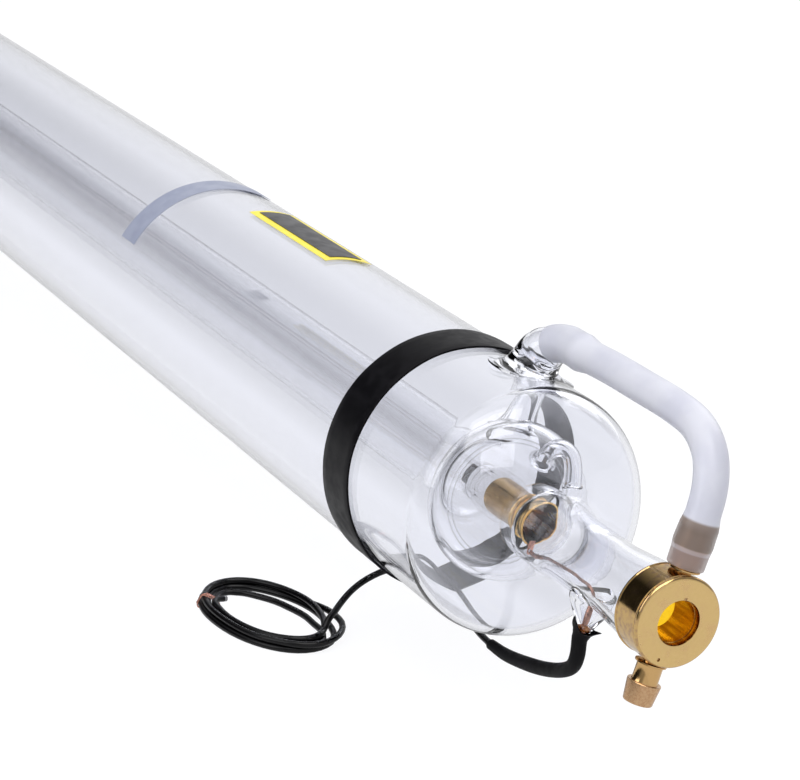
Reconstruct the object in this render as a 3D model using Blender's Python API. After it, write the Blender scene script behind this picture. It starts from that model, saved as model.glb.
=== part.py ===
"""A sealed glass CO2 laser tube with a metal output head, a water hose and a cathode lead.

The tube's axis is the X axis and the beam leaves along +X. The origin lies on the
axis, half way along the tube and so midway between its two cradles. The glass lies
rolled in its cradles, so everything that stands out of it leans to +Y by ROLL.
Distances along the tube are measured back from the output face or from the foot of the
front neck, or for the rear end forward from the rear face.
"""

import math

import bmesh
import bpy
from mathutils import Matrix, Vector

MM = 0.001

# Whole tube
LENGTH = 1200 * MM
ROLL = math.radians(20)
SEAT_GAP = 0.3 * MM

# Outer glass envelope
SHELL_RADIUS = 40 * MM
SHELL_WALL = 2.2 * MM
DOME_DEPTH = 21 * MM
DOME_MOUTH_SHARE = 0.5
NECK_RADIUS = 10.9 * MM
NECK_END_RADIUS = 12.6 * MM
NECK_WALL = 2.4 * MM
NECK_LENGTH = 60 * MM
NECK_FLARE_LENGTH = 26 * MM
NECK_FILLET = 9 * MM
REAR_NECK_LENGTH = 48 * MM

# Output head and what it holds
HEAD_LENGTH = 12.4 * MM
HEAD_STEP = 1.1 * MM
HEAD_EDGE = 0.9 * MM
APERTURE_RADIUS = 6.65 * MM
LENS_LIP = 0.4 * MM
LENS_THICKNESS = 2.0 * MM

# Hose barbs of the head
BARB_BEHIND_FACE = 6.2 * MM
BARB_SHANK_RADIUS = 4.0 * MM
BARB_FLANGE_RADIUS = 4.7 * MM
BARB_FLANGE_THICKNESS = 0.6 * MM
BARB_SHANK_LENGTH = 5.4 * MM
BARB_RIDGE_RADIUS = 5.0 * MM
BARB_TIP_RADIUS = 4.3 * MM
BARB_RIDGE_LENGTH = 6.3 * MM
BARB_BORE_RADIUS = 1.9 * MM
BARB_SPIGOT_RADIUS = 2.5 * MM
BARB_SPIGOT_LENGTH = 1.8 * MM

# Rear mirror head
REAR_HEAD_LENGTH = 14 * MM
REAR_RIM_RADIUS = 7.5 * MM
MIRROR_THICKNESS = 2.5 * MM

# Water jacket with its front bulb and the stem up to the shell
JACKET_RADIUS = 12.5 * MM
JACKET_WALL = 1.5 * MM
JACKET_LIP_RADIUS = 11.3 * MM
JACKET_LIP_IN = 9.3 * MM
BULB_IN = 31.8 * MM
BULB_RADIUS = 25.5 * MM
BULB_DEPTH = 20 * MM
JACKET_REAR_END = 118 * MM
STEM_IN = 39.3 * MM
STEM_RADIUS = 6.0 * MM
STEM_WALL = 1.4 * MM

# Inner chamber round the cathode, and the discharge tube
CHAMBER_IN = 30.3 * MM
CHAMBER_RADIUS = 19.7 * MM
CHAMBER_DEPTH = 14.5 * MM
CHAMBER_WALL = 1.3 * MM
CHAMBER_LIP_IN = 9.9 * MM
DISCHARGE_RADIUS = 4.6 * MM
DISCHARGE_WALL = 1.2 * MM
CUP_RADIUS = 7.7 * MM
CUP_FRONT_IN = 31.3 * MM
CUP_LENGTH = 9 * MM
CUP_FLARE = 3 * MM
DISCHARGE_REAR_END = 106 * MM

# Cathode, a stepped metal sleeve, with its tab and lead
CATHODE_RADIUS = 6.0 * MM
CATHODE_WALL = 0.7 * MM
CATHODE_FRONT_IN = 7.3 * MM
CATHODE_LENGTH = 27.5 * MM
COLLAR_STEP = 0.9 * MM
COLLAR_IN = 14.3 * MM
COLLAR_WIDTH = 2.0 * MM
LIP_STEP = 0.5 * MM
TAB_WIDTH = 2.6 * MM
TAB_DROP = 2.2 * MM
TAB_THICKNESS = 0.4 * MM
LEAD_RADIUS = 0.5 * MM

# Cathode stem under the neck, with its pin
CATHODE_STEM_BACK = 42.6 * MM
STEM_BASE_RADIUS = 6.6 * MM
STEM_TIP_RADIUS = 2.5 * MM
ELECTRODE_STEM_DROP = 8.4 * MM
ELECTRODE_STEM_WALL = 1.2 * MM
PIN_RADIUS = 0.8 * MM
PIN_BEAD_RADIUS = 1.3 * MM
PIN_BEAD_RISE = 1.6 * MM
PIN_BEAD_LENGTH = 1.2 * MM
PIN_LENGTH = 9.5 * MM
PIN_TIP_DROP = 2.2 * MM

# Anode at the rear end
ANODE_STEM_FORWARD = 40 * MM
ANODE_RADIUS = 6.5 * MM
ANODE_WALL = 0.7 * MM
ANODE_LENGTH = 16 * MM
ANODE_FORWARD = 78 * MM

# Gas return tube on the front chamber
RETURN_RADIUS = 2.6 * MM
RETURN_WALL = 0.8 * MM
RETURN_LEAN = math.radians(19)

# Glass water nipples
NIPPLE_IN = 41.3 * MM
NIPPLE_RADIUS = 4.5 * MM
NIPPLE_WALL = 1.2 * MM
NIPPLE_FLARE_RADIUS = 8.6 * MM
NIPPLE_FLARE_HEIGHT = 4.0 * MM
NIPPLE_BEAD_RADIUS = 5.1 * MM
NIPPLE_REACH = 26 * MM
NIPPLE_RISE = 12.6 * MM
NIPPLE_BEND = 11 * MM
NIPPLE_FOOT = 2 * MM
REAR_NIPPLE_FORWARD = 130 * MM
REAR_NIPPLE_HEIGHT = 14 * MM

# Hose from the nipple to the head
HOSE_RADIUS = 5.1 * MM
HOSE_WALL = 1.5 * MM
HOSE_STRETCHED_WALL = 0.6 * MM
HOSE_BEND = 23 * MM
HOSE_CROWN = 0.5 * MM
HOSE_GRIP_FRONT = 17 * MM
HOSE_GRIP_BACK = 19 * MM

# Black band, which also holds the cathode lead against the glass
BAND_IN = 69.15 * MM
BAND_WIDTH = 18.5 * MM
BAND_THICKNESS = 0.9 * MM

# Plain labels
LABEL_BACK = 273 * MM
LABEL_LENGTH = 68 * MM
LABEL_WIDTH = 17.8 * MM
LABEL_START = math.radians(-20.5)
PANEL_MARGIN = 2.8 * MM
STRIP_BACK = 347 * MM
STRIP_WIDTH = 13 * MM
STRIP_START = math.radians(-75)
STRIP_LENGTH = 62 * MM
LABEL_THICKNESS = 0.15 * MM

# Cathode lead, its heat-shrink sleeve and its coil
WIRE_RADIUS = 1.1 * MM
SLEEVE_RADIUS = 2.3 * MM
SLEEVE_END_RADIUS = 1.7 * MM
SLEEVE_CUP_DEPTH = 0.7 * MM
SURFACE_BELOW_SHELL = 19.4 * MM
COIL_BEHIND_BAND = 33.7 * MM
COIL_BESIDE_SHELL = 9.7 * MM
COIL_HALF_LENGTH = 30 * MM
COIL_HALF_WIDTH = 14.5 * MM
COIL_BUNDLE_WIDTH = 8 * MM
COIL_BUNDLE_HEIGHT = 4.6 * MM
COIL_TURN = math.radians(9)
TIE_ANGLE = math.radians(226)
TIE_LENGTH = 4 * MM
TIE_THICKNESS = 0.5 * MM
TIE_SQUEEZE = 0.36
TIE_SPREAD = 0.5

# How fine the round pieces are
SHELL_SIDES = 28
TUBE_SIDES = 18
SMALL_SIDES = 12
WIRE_SIDES = 8

FACE_X = LENGTH / 2
UP = Vector((0, math.sin(ROLL), math.cos(ROLL)))

# Routes of the sleeve after the pin and of the lead after the sleeve. Each point is its
# share of the way from the stem back to the band, then y and z in shell radii. On the
# tail, which drops from the band to the coil, the last number is the share of the drop.
SLEEVE_ROUTE = [(-0.002, -0.207, -0.640), (0.026, -0.210, -0.755), (0.095, -0.212, -0.855),
                (0.195, -0.217, -0.945), (0.316, -0.222, -1.020), (0.437, -0.225, -1.075),
                (0.538, -0.225, -1.090)]
LEAD_ROUTE = [(0.542, -0.225, -1.090), (0.619, -0.215, -1.085), (0.719, -0.180, -1.070),
              (0.820, -0.130, -1.053), (0.907, -0.100, -1.039), (1.000, -0.100, -1.039),
              (1.093, -0.100, -1.039)]
TAIL_ROUTE = [(1.153, -0.115, 0.034), (1.203, -0.175, 0.12), (1.239, -0.305, 0.27),
              (1.247, -0.460, 0.45), (1.229, -0.615, 0.62), (1.195, -0.750, 0.78),
              (1.157, -0.865, 0.92), (1.136, -0.935, 1.0)]


def behind(distance):
    """X of a place this far back from the output face."""
    return FACE_X - distance


def inside(distance):
    """X of a place this far back from the foot of the front neck."""
    return FACE_X - HEAD_LENGTH - SEAT_GAP - NECK_LENGTH - distance


def ahead(distance):
    """X of a place this far forward from the rear face."""
    return distance - FACE_X


def material(name, colour, roughness, metallic=0.0, clear=0.0):
    made = bpy.data.materials.new(name)
    made.use_nodes = True
    shader = made.node_tree.nodes["Principled BSDF"]
    shader.inputs["Base Color"].default_value = (*colour, 1)
    shader.inputs["Roughness"].default_value = roughness
    shader.inputs["Metallic"].default_value = metallic
    shader.inputs["Transmission Weight"].default_value = clear
    made.diffuse_color = (*colour, 1 - 0.7 * clear)
    return made


def add(name, mesh_or_curve, finish, parent=None):
    """Put a mesh or curve in the scene under its own name, with its own finish."""
    piece = bpy.data.objects.new(name, mesh_or_curve)
    bpy.context.scene.collection.objects.link(piece)
    mesh_or_curve.materials.append(finish)
    piece.parent = parent
    return piece


def mesh_from(name, bm):
    bmesh.ops.remove_doubles(bm, verts=bm.verts, dist=0.001 * MM)
    bmesh.ops.recalc_face_normals(bm, faces=bm.faces)
    mesh = bpy.data.meshes.new(name)
    bm.to_mesh(mesh)
    bm.free()
    mesh.shade_smooth()
    mesh.set_sharp_from_angle(angle=math.radians(40))
    return mesh


def turned_mesh(name, outline, sides, closed=True):
    """Spin an outline of (place along Z, radius) round Z. An open one ends on the axis."""
    bm = bmesh.new()
    verts = [bm.verts.new((radius, 0, place)) for place, radius in outline]
    pairs = list(zip(verts, verts[1:]))
    if closed:
        pairs.append((verts[-1], verts[0]))
    edges = [bm.edges.new(pair) for pair in pairs]
    bmesh.ops.spin(bm, geom=verts + edges, cent=(0, 0, 0), axis=(0, 0, 1),
                   angle=math.tau, steps=sides, use_merge=True)
    return mesh_from(name, bm)


def turned_on_axis(name, outline, sides, finish, parent, closed=True):
    """A turned piece on the tube's axis, its outline given as (x, radius)."""
    piece = add(name, turned_mesh(name, outline, sides, closed), finish, parent)
    piece.rotation_euler = (0, math.pi / 2, 0)
    return piece


def smooth_path(points, steps):
    """Points read from a smooth curve through the given ones, steps to a span."""
    ends = [points[0] * 2 - points[1]] + list(points) + [points[-1] * 2 - points[-2]]
    path = []
    for a, b, c, d in zip(ends, ends[1:], ends[2:], ends[3:]):
        for step in range(steps):
            t = step / steps
            path.append(0.5 * (2 * b + (c - a) * t + (2 * a - 5 * b + 4 * c - d) * t ** 2
                               + (3 * b - a - 3 * c + d) * t ** 3))
    return path + [points[-1].copy()]


class Path:
    """A smooth route that is asked for a place and direction by distance along it."""

    def __init__(self, points, steps=8):
        self.points = smooth_path(points, steps)
        self.marks = [0.0]
        for a, b in zip(self.points, self.points[1:]):
            self.marks.append(self.marks[-1] + (b - a).length)
        self.length = self.marks[-1]

    def at(self, distance):
        distance = min(max(distance, 0.0), self.length)
        index = 0
        while index < len(self.marks) - 2 and self.marks[index + 1] < distance:
            index += 1
        span = self.marks[index + 1] - self.marks[index]
        share = (distance - self.marks[index]) / span
        return self.points[index].lerp(self.points[index + 1], share)

    def along(self, distance):
        reach = self.length / 60
        return (self.at(distance + reach) - self.at(distance - reach)).normalized()


def bent_mesh(name, path, outline, sides, closed=True):
    """Loft rings along a route. The outline is (distance along it, radius), and an
    open one ends in flat caps."""
    bm = bmesh.new()
    loops = []
    heading = path.along(outline[0][0])
    turn = heading.to_track_quat("Z", "Y")
    for distance, radius in outline:
        turn = heading.rotation_difference(path.along(distance)) @ turn
        heading = path.along(distance)
        place = Matrix.Translation(path.at(distance)) @ turn.to_matrix().to_4x4()
        ring = bmesh.ops.create_circle(bm, segments=sides, radius=radius, matrix=place)
        loops.append(ring["verts"])
    pairs = list(zip(loops, loops[1:]))
    if closed:
        pairs.append((loops[-1], loops[0]))
    for first, second in pairs:
        for side in range(sides):
            after = (side + 1) % sides
            bm.faces.new((first[side], first[after], second[after], second[side]))
    if not closed:
        bm.faces.new(loops[0])
        bm.faces.new(loops[-1])
    return mesh_from(name, bm)


def cutter(name, mesh, parent, location=(0, 0, 0), rotation=(0, 0, 0)):
    shape = bpy.data.objects.new(name, mesh)
    bpy.context.scene.collection.objects.link(shape)
    shape.parent = parent
    shape.location = location
    shape.rotation_euler = rotation
    shape.hide_render = True
    shape.display_type = "WIRE"
    return shape


def boolean(piece, operation, other):
    step = piece.modifiers.new(other.name, "BOOLEAN")
    step.operation = operation
    step.solver = "EXACT"
    step.object = other


def rod_mesh(name, low, high, radius, sides):
    """A plain rod, turned by half a side so that its edges miss those of what it cuts."""
    mesh = turned_mesh(name, [(low, 0), (low, radius), (high, radius), (high, 0)],
                       sides, closed=False)
    mesh.transform(Matrix.Rotation(math.pi / sides, 4, "Z"))
    return mesh


def bezier(start, pull_start, pull_end, end, steps):
    points = []
    for step in range(1, steps):
        t = step / steps
        u = 1 - t
        points.append(tuple(u ** 3 * p + 3 * u * u * t * q + 3 * u * t * t * r + t ** 3 * s
                            for p, q, r, s in zip(start, pull_start, pull_end, end)))
    return points


def shell_end(face_to_neck, neck_length, inset, neck_inset):
    """Outline of one glass end, from the neck's rim to the shoulder, as (distance from
    the end face, radius). The insets move it in by the wall's thickness."""
    rim = NECK_END_RADIUS - neck_inset
    waist = NECK_RADIUS - neck_inset
    points = [(face_to_neck, rim)]
    for step in (1, 2):
        t = step / 2
        eased = t * t * (3 - 2 * t)
        points.append((face_to_neck + t * NECK_FLARE_LENGTH, rim + (waist - rim) * eased))
    apex = face_to_neck + neck_length
    shoulder = apex + DOME_DEPTH
    radius = SHELL_RADIUS - inset
    depth = DOME_DEPTH - inset
    mouth = math.asin(DOME_MOUTH_SHARE)
    neck_foot = (apex - NECK_FILLET, waist)
    dome_foot = (shoulder - depth * math.cos(mouth), radius * math.sin(mouth))
    slope = Vector((depth * math.sin(mouth), radius * math.cos(mouth))).normalized()
    pull = NECK_FILLET * 0.8
    points.append(neck_foot)
    points += bezier(neck_foot, (neck_foot[0] + pull, waist),
                     (dome_foot[0] - pull * slope.x, dome_foot[1] - pull * slope.y),
                     dome_foot, 3)
    for step in range(5):
        angle = mouth + (math.pi / 2 - mouth) * step / 4
        points.append((shoulder - depth * math.cos(angle), radius * math.sin(angle)))
    return points


def make_outer_tube(finish, frame):
    front = HEAD_LENGTH + SEAT_GAP
    rear = REAR_HEAD_LENGTH + SEAT_GAP
    outline = [(behind(d), r) for d, r in shell_end(front, NECK_LENGTH, 0, 0)]
    outline += [(ahead(d), r) for d, r in reversed(shell_end(rear, REAR_NECK_LENGTH, 0, 0))]
    inner_rear = shell_end(rear, REAR_NECK_LENGTH, SHELL_WALL, NECK_WALL)
    inner_front = shell_end(front, NECK_LENGTH, SHELL_WALL, NECK_WALL)
    outline += [(ahead(d), r) for d, r in inner_rear]
    outline += [(behind(d), r) for d, r in reversed(inner_front)]
    tube = turned_on_axis("outer_tube", outline, SHELL_SIDES, finish, frame)
    reach = SHELL_RADIUS * 1.2
    hole = NIPPLE_RADIUS - NIPPLE_WALL
    drill = rod_mesh("nipple_drill", 0, reach, hole, SMALL_SIDES)
    boolean(tube, "DIFFERENCE", cutter("front_nipple_drill", drill, frame,
                                       (inside(NIPPLE_IN), 0, 0)))
    boolean(tube, "DIFFERENCE", cutter("rear_nipple_drill", drill, frame,
                                       (ahead(REAR_NIPPLE_FORWARD), 0, 0), (math.pi, 0, 0)))
    bore = STEM_TIP_RADIUS
    drill = rod_mesh("stem_drill", 0, NECK_RADIUS * 1.5, bore, SMALL_SIDES)
    boolean(tube, "DIFFERENCE", cutter("cathode_stem_drill", drill, frame,
                                       (behind(CATHODE_STEM_BACK), 0, 0), (math.pi, 0, 0)))
    boolean(tube, "DIFFERENCE", cutter("anode_stem_drill", drill, frame,
                                       (ahead(ANODE_STEM_FORWARD), 0, 0), (math.pi, 0, 0)))
    return tube


def shell_clearance(frame):
    """The envelope grown by the seat gap, which trims what is seated on its outside."""
    front = HEAD_LENGTH + SEAT_GAP
    rear = REAR_HEAD_LENGTH + SEAT_GAP
    outline = [(behind(d), r) for d, r in shell_end(front, NECK_LENGTH, -SEAT_GAP, -SEAT_GAP)]
    outline += [(ahead(d), r)
                for d, r in reversed(shell_end(rear, REAR_NECK_LENGTH, -SEAT_GAP, -SEAT_GAP))]
    outline = [(outline[0][0], 0)] + outline + [(outline[-1][0], 0)]
    mesh = turned_mesh("shell_clearance", outline, SHELL_SIDES, closed=False)
    return cutter("shell_clearance", mesh, frame, rotation=(0, math.pi / 2, 0))


def bulb_outline(inset):
    """The jacket from the front lip over the bulb to its rear end, as (x, radius)."""
    lip = JACKET_LIP_RADIUS - inset
    radius = BULB_RADIUS - inset
    depth = BULB_DEPTH - inset
    tube = JACKET_RADIUS - inset
    start = math.asin(lip / radius)
    end = math.pi - math.asin(tube / radius) - math.radians(14)
    points = [(inside(JACKET_LIP_IN), lip)]
    for step in range(7):
        angle = start + (end - start) * step / 6
        points.append((inside(BULB_IN) + depth * math.cos(angle), radius * math.sin(angle)))
    foot = points[-1]
    landing = (inside(BULB_IN) - depth * 1.35, tube)
    points += bezier(foot, (foot[0] - depth * 0.16, foot[1] - depth * 0.2),
                     (landing[0] + depth * 0.25, tube), landing, 2)
    points.append(landing)
    points.append((ahead(JACKET_REAR_END), tube))
    return points


def make_water_jacket(finish, frame):
    outer = bulb_outline(0)
    end_x = ahead(JACKET_REAR_END)
    closing = DISCHARGE_RADIUS + SEAT_GAP
    outer.append((end_x - JACKET_RADIUS * 0.5, closing + JACKET_WALL))
    outer.append((end_x - JACKET_RADIUS, closing + JACKET_WALL))
    solid = [(outer[0][0], 0)] + outer + [(outer[-1][0], 0)]
    jacket = turned_on_axis("water_jacket", solid, TUBE_SIDES, finish, frame, closed=False)
    reach = (SHELL_RADIUS - SHELL_WALL) * math.cos(math.pi / SHELL_SIDES) - SEAT_GAP
    stem_top = math.sqrt(reach ** 2 - STEM_RADIUS ** 2)
    stem = rod_mesh("water_stem", JACKET_RADIUS * 0.5, stem_top, STEM_RADIUS, SMALL_SIDES)
    bore = rod_mesh("water_bore", 0, SHELL_RADIUS, STEM_RADIUS - STEM_WALL, SMALL_SIDES)
    ends = (("front", inside(STEM_IN), 0), ("rear", ahead(REAR_NIPPLE_FORWARD), math.pi))
    for end, x, turn in ends:
        boolean(jacket, "UNION", cutter(end + "_water_stem", stem, frame, (x, 0, 0),
                                        (turn, 0, 0)))
    inner = bulb_outline(JACKET_WALL)
    inner.append((end_x - JACKET_RADIUS * 0.5, closing))
    inner.append((end_x - JACKET_RADIUS * 2, closing))
    inner.insert(0, (inner[0][0] + JACKET_RADIUS, inner[0][1]))
    hollow = [(inner[0][0], 0)] + inner + [(inner[-1][0], 0)]
    mesh = turned_mesh("jacket_hollow", hollow, TUBE_SIDES, closed=False)
    boolean(jacket, "DIFFERENCE", cutter("jacket_hollow", mesh, frame,
                                         rotation=(0, math.pi / 2, 0)))
    for end, x, turn in ends:
        boolean(jacket, "DIFFERENCE", cutter(end + "_water_bore", bore, frame, (x, 0, 0),
                                             (turn, 0, 0)))
    return jacket


def chamber_outline(inset):
    lip = JACKET_LIP_RADIUS - JACKET_WALL - SEAT_GAP - inset
    radius = CHAMBER_RADIUS - inset
    depth = CHAMBER_DEPTH - inset
    tail = DISCHARGE_RADIUS + SEAT_GAP + CHAMBER_WALL - inset
    start = math.asin(lip / radius)
    end = math.pi - math.asin(tail / radius) - math.radians(6)
    points = [(inside(CHAMBER_LIP_IN), lip)]
    for step in range(7):
        angle = start + (end - start) * step / 6
        points.append((inside(CHAMBER_IN) + depth * math.cos(angle),
                       radius * math.sin(angle)))
    points.append((inside(CHAMBER_IN) - CHAMBER_DEPTH * 1.12, tail))
    points.append((inside(CHAMBER_IN) - CHAMBER_DEPTH * 1.4, tail))
    return points


def make_cathode_chamber(finish, frame):
    outline = chamber_outline(0) + list(reversed(chamber_outline(CHAMBER_WALL)))
    return turned_on_axis("cathode_chamber", outline, TUBE_SIDES, finish, frame)


def make_discharge_tube(finish, frame):
    front = inside(CUP_FRONT_IN)
    cup_end = front - CUP_LENGTH
    tube_start = cup_end - CUP_FLARE
    rear = ahead(DISCHARGE_REAR_END)
    bore = DISCHARGE_RADIUS - DISCHARGE_WALL
    middle = (cup_end + tube_start) / 2
    outline = [(front, CUP_RADIUS), (cup_end, CUP_RADIUS),
               (middle, (CUP_RADIUS + DISCHARGE_RADIUS) / 2),
               (tube_start, DISCHARGE_RADIUS), (rear, DISCHARGE_RADIUS), (rear, bore),
               (tube_start, bore), (middle, (CUP_RADIUS + DISCHARGE_RADIUS) / 2 - DISCHARGE_WALL),
               (cup_end, CUP_RADIUS - DISCHARGE_WALL), (front, CUP_RADIUS - DISCHARGE_WALL)]
    return turned_on_axis("discharge_tube", outline, SMALL_SIDES, finish, frame)


def make_cathode(finish, frame):
    front = inside(CATHODE_FRONT_IN)
    rear = front - CATHODE_LENGTH
    collar = inside(COLLAR_IN)
    sleeve = CATHODE_RADIUS + COLLAR_STEP - LIP_STEP
    rim = CATHODE_RADIUS + COLLAR_STEP
    bore = CATHODE_RADIUS - CATHODE_WALL
    lip = front - COLLAR_WIDTH * 0.75
    outline = [(rear, bore), (rear, CATHODE_RADIUS), (collar - COLLAR_WIDTH, CATHODE_RADIUS),
               (collar - COLLAR_WIDTH, rim), (collar, rim), (collar, sleeve), (lip, sleeve),
               (lip, rim), (front, rim), (front, bore)]
    return turned_on_axis("cathode_cylinder", outline, TUBE_SIDES, finish, frame)


def make_tab(finish, frame):
    """The strip that hangs from the cathode's front rim and carries its lead."""
    top = -(CATHODE_RADIUS - CATHODE_WALL)
    foot = -(CATHODE_RADIUS + COLLAR_STEP + TAB_DROP)
    bm = bmesh.new()
    size = Matrix.Diagonal((TAB_THICKNESS, TAB_WIDTH, top - foot, 1))
    bmesh.ops.create_cube(bm, size=1, matrix=size)
    corners = [e for e in bm.edges if abs(e.verts[0].co.x - e.verts[1].co.x) > TAB_THICKNESS / 2
               and e.verts[0].co.z < 0]
    bmesh.ops.bevel(bm, geom=corners, offset=TAB_WIDTH / 4, segments=2, affect="EDGES")
    tab = add("cathode_tab", mesh_from("cathode_tab", bm), finish, frame)
    tab.location = (inside(CATHODE_FRONT_IN) + SEAT_GAP + TAB_THICKNESS / 2, 0,
                    (top + foot) / 2)
    return tab


def wire_curve(name, points, radius, finish, parent=None):
    curve = bpy.data.curves.new(name, "CURVE")
    curve.dimensions = "3D"
    curve.bevel_depth = radius
    curve.bevel_resolution = 2 if radius > LEAD_RADIUS else 1
    curve.use_fill_caps = True
    spline = curve.splines.new("POLY")
    spline.points.add(len(points) - 1)
    for target, point in zip(spline.points, points):
        target.co = (*point, 1)
    return add(name, curve, finish, parent)


def make_cathode_lead(finish, frame):
    """Copper wire along the bottom of the neck, from the tab to the top of the pin."""
    start = inside(CATHODE_FRONT_IN) + 2 * SEAT_GAP + TAB_THICKNESS + LEAD_RADIUS
    tab_height = -(CATHODE_RADIUS + COLLAR_STEP + TAB_DROP * 0.6)
    run = -(NECK_RADIUS - NECK_WALL - LEAD_RADIUS - 2 * SEAT_GAP)
    stem = behind(CATHODE_STEM_BACK)
    route = [Vector((start, 0, tab_height)),
             Vector((start + 4 * MM, 0, tab_height)),
             Vector((behind(NECK_LENGTH), 0, run)),
             Vector((stem - 8 * MM, 0, run)),
             Vector((stem - 3 * MM, 0, run)),
             Vector((stem - 0.6 * MM, 0, run - 1.2 * MM)),
             Vector((stem, 0, run - 2.6 * MM)),
             Vector((stem, 0, -(pin_top() - SEAT_GAP)))]
    return wire_curve("cathode_lead", smooth_path(route, 2), LEAD_RADIUS, finish, frame)


def stem_tip():
    """How far below the axis an electrode stem ends."""
    return NECK_RADIUS + ELECTRODE_STEM_DROP


def stem_radius(place):
    share = min(max((place - NECK_RADIUS) / ELECTRODE_STEM_DROP, 0.0), 1.0)
    return STEM_TIP_RADIUS + (STEM_BASE_RADIUS - STEM_TIP_RADIUS) * (1 - share ** 1.5)


def pin_top():
    return stem_tip() - (PIN_LENGTH - PIN_TIP_DROP)


def make_electrode(names, stem_x, finishes, frame, clearance):
    """A tapering glass stem under a neck, and the pin that is sealed into it."""
    stem_name, pin_name = names
    outer = [(NECK_RADIUS - NECK_WALL, STEM_BASE_RADIUS)]
    for step in range(4):
        place = NECK_RADIUS + ELECTRODE_STEM_DROP * step / 3
        outer.append((place, stem_radius(place)))
    throat = PIN_RADIUS + SEAT_GAP
    inner = [(place, max(radius - ELECTRODE_STEM_WALL, throat)) for place, radius in outer]
    outline = outer + list(reversed(inner))
    stem = add(stem_name, turned_mesh(stem_name, outline, SMALL_SIDES), finishes[0], frame)
    stem.location = (stem_x, 0, 0)
    stem.rotation_euler = (math.pi, 0, math.pi / SMALL_SIDES)
    boolean(stem, "DIFFERENCE", clearance)
    end = stem_tip() + PIN_TIP_DROP
    bead = stem_tip() - PIN_BEAD_RISE
    half = PIN_BEAD_LENGTH / 2
    outline = [(pin_top(), 0), (pin_top(), PIN_RADIUS), (bead - half, PIN_RADIUS),
               (bead - half / 2, PIN_BEAD_RADIUS), (bead + half / 2, PIN_BEAD_RADIUS),
               (bead + half, PIN_RADIUS), (end, PIN_RADIUS), (end, 0)]
    pin = add(pin_name, turned_mesh(pin_name, outline, WIRE_SIDES, closed=False),
              finishes[1], frame)
    pin.location = (stem_x, 0, 0)
    pin.rotation_euler = (math.pi, 0, 0)


def make_anode(finish, frame):
    front = ahead(ANODE_FORWARD) + ANODE_LENGTH / 2
    rear = front - ANODE_LENGTH
    lip = ANODE_RADIUS + ANODE_WALL
    bore = ANODE_RADIUS - ANODE_WALL
    outline = [(rear, bore), (rear, lip), (rear + ANODE_WALL, lip),
               (rear + ANODE_WALL, ANODE_RADIUS), (front, ANODE_RADIUS), (front, bore)]
    turned_on_axis("anode_cylinder", outline, TUBE_SIDES, finish, frame)


def make_anode_lead(finish, frame):
    """Wire along the bottom of the rear neck, from the anode to its pin."""
    rear = ahead(ANODE_FORWARD) - ANODE_LENGTH / 2
    run = -(NECK_RADIUS - NECK_WALL - LEAD_RADIUS - 2 * SEAT_GAP)
    stem = ahead(ANODE_STEM_FORWARD)
    height = -(ANODE_RADIUS + ANODE_WALL / 2)
    route = [Vector((rear - SEAT_GAP, 0, height)),
             Vector((rear - 5 * MM, 0, height)),
             Vector((stem + 8 * MM, 0, run)),
             Vector((stem + 3 * MM, 0, run)),
             Vector((stem + 0.6 * MM, 0, run - 1.2 * MM)),
             Vector((stem, 0, run - 2.6 * MM)),
             Vector((stem, 0, -(pin_top() - SEAT_GAP)))]
    return wire_curve("anode_lead", smooth_path(route, 2), LEAD_RADIUS, finish, frame)


def make_return_tube(finish, frame):
    """A short hooked glass tube on the front of the jacket's bulb."""
    lean = bpy.data.objects.new("return_lean", None)
    bpy.context.scene.collection.objects.link(lean)
    lean.parent = frame
    lean.rotation_euler = (-RETURN_LEAN, 0, 0)
    angle = math.radians(43)
    foot = Vector((inside(BULB_IN) + BULB_DEPTH * math.cos(angle), 0,
                   BULB_RADIUS * math.sin(angle)))
    out = Vector((math.cos(angle) / BULB_DEPTH, 0, math.sin(angle) / BULB_RADIUS)).normalized()
    start = foot + out * SEAT_GAP * 2
    knee = start + out * RETURN_RADIUS * 1.2
    bends = [Vector((0.7, 0, 1.1)), Vector((0.5, 0, 2.3)), Vector((-0.5, 0, 3.2))]
    path = Path([start, knee] + [knee + bend * RETURN_RADIUS for bend in bends])
    outline = [(path.length * step / 6, RETURN_RADIUS) for step in range(7)]
    outline += [(distance, radius - RETURN_WALL) for distance, radius in reversed(outline)]
    mesh = bent_mesh("gas_return_tube", path, outline, WIRE_SIDES)
    return add("gas_return_tube", mesh, finish, lean)


def head_radius():
    return NECK_END_RADIUS + HEAD_STEP


def lens_radius():
    return NECK_END_RADIUS - NECK_WALL + LENS_LIP


def make_output_head(finish, frame):
    radius = head_radius()
    back = behind(HEAD_LENGTH)
    shoulder = back + LENS_THICKNESS + SEAT_GAP
    pocket = lens_radius() + SEAT_GAP
    outline = [(back, pocket), (back, radius - HEAD_EDGE / 3), (back + HEAD_EDGE / 3, radius)]
    for step in range(4):
        angle = math.pi / 2 * step / 3
        outline.append((FACE_X - HEAD_EDGE * (1 - math.sin(angle)),
                        radius - HEAD_EDGE * (1 - math.cos(angle))))
    outline += [(FACE_X, APERTURE_RADIUS + HEAD_EDGE / 3),
                (FACE_X - HEAD_EDGE / 3, APERTURE_RADIUS), (shoulder, APERTURE_RADIUS),
                (shoulder, pocket)]
    head = turned_on_axis("output_head", outline, SHELL_SIDES, finish, frame)
    drill = rod_mesh("barb_drill", radius - BARB_SPIGOT_LENGTH - SEAT_GAP, radius * 1.5,
                     BARB_SPIGOT_RADIUS + SEAT_GAP, SMALL_SIDES)
    for name, turn in (("upper_barb_drill", 0), ("lower_barb_drill", math.pi)):
        boolean(head, "DIFFERENCE", cutter(name, drill, frame,
                                           (behind(BARB_BEHIND_FACE), 0, 0), (turn, 0, 0)))
    return head


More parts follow.
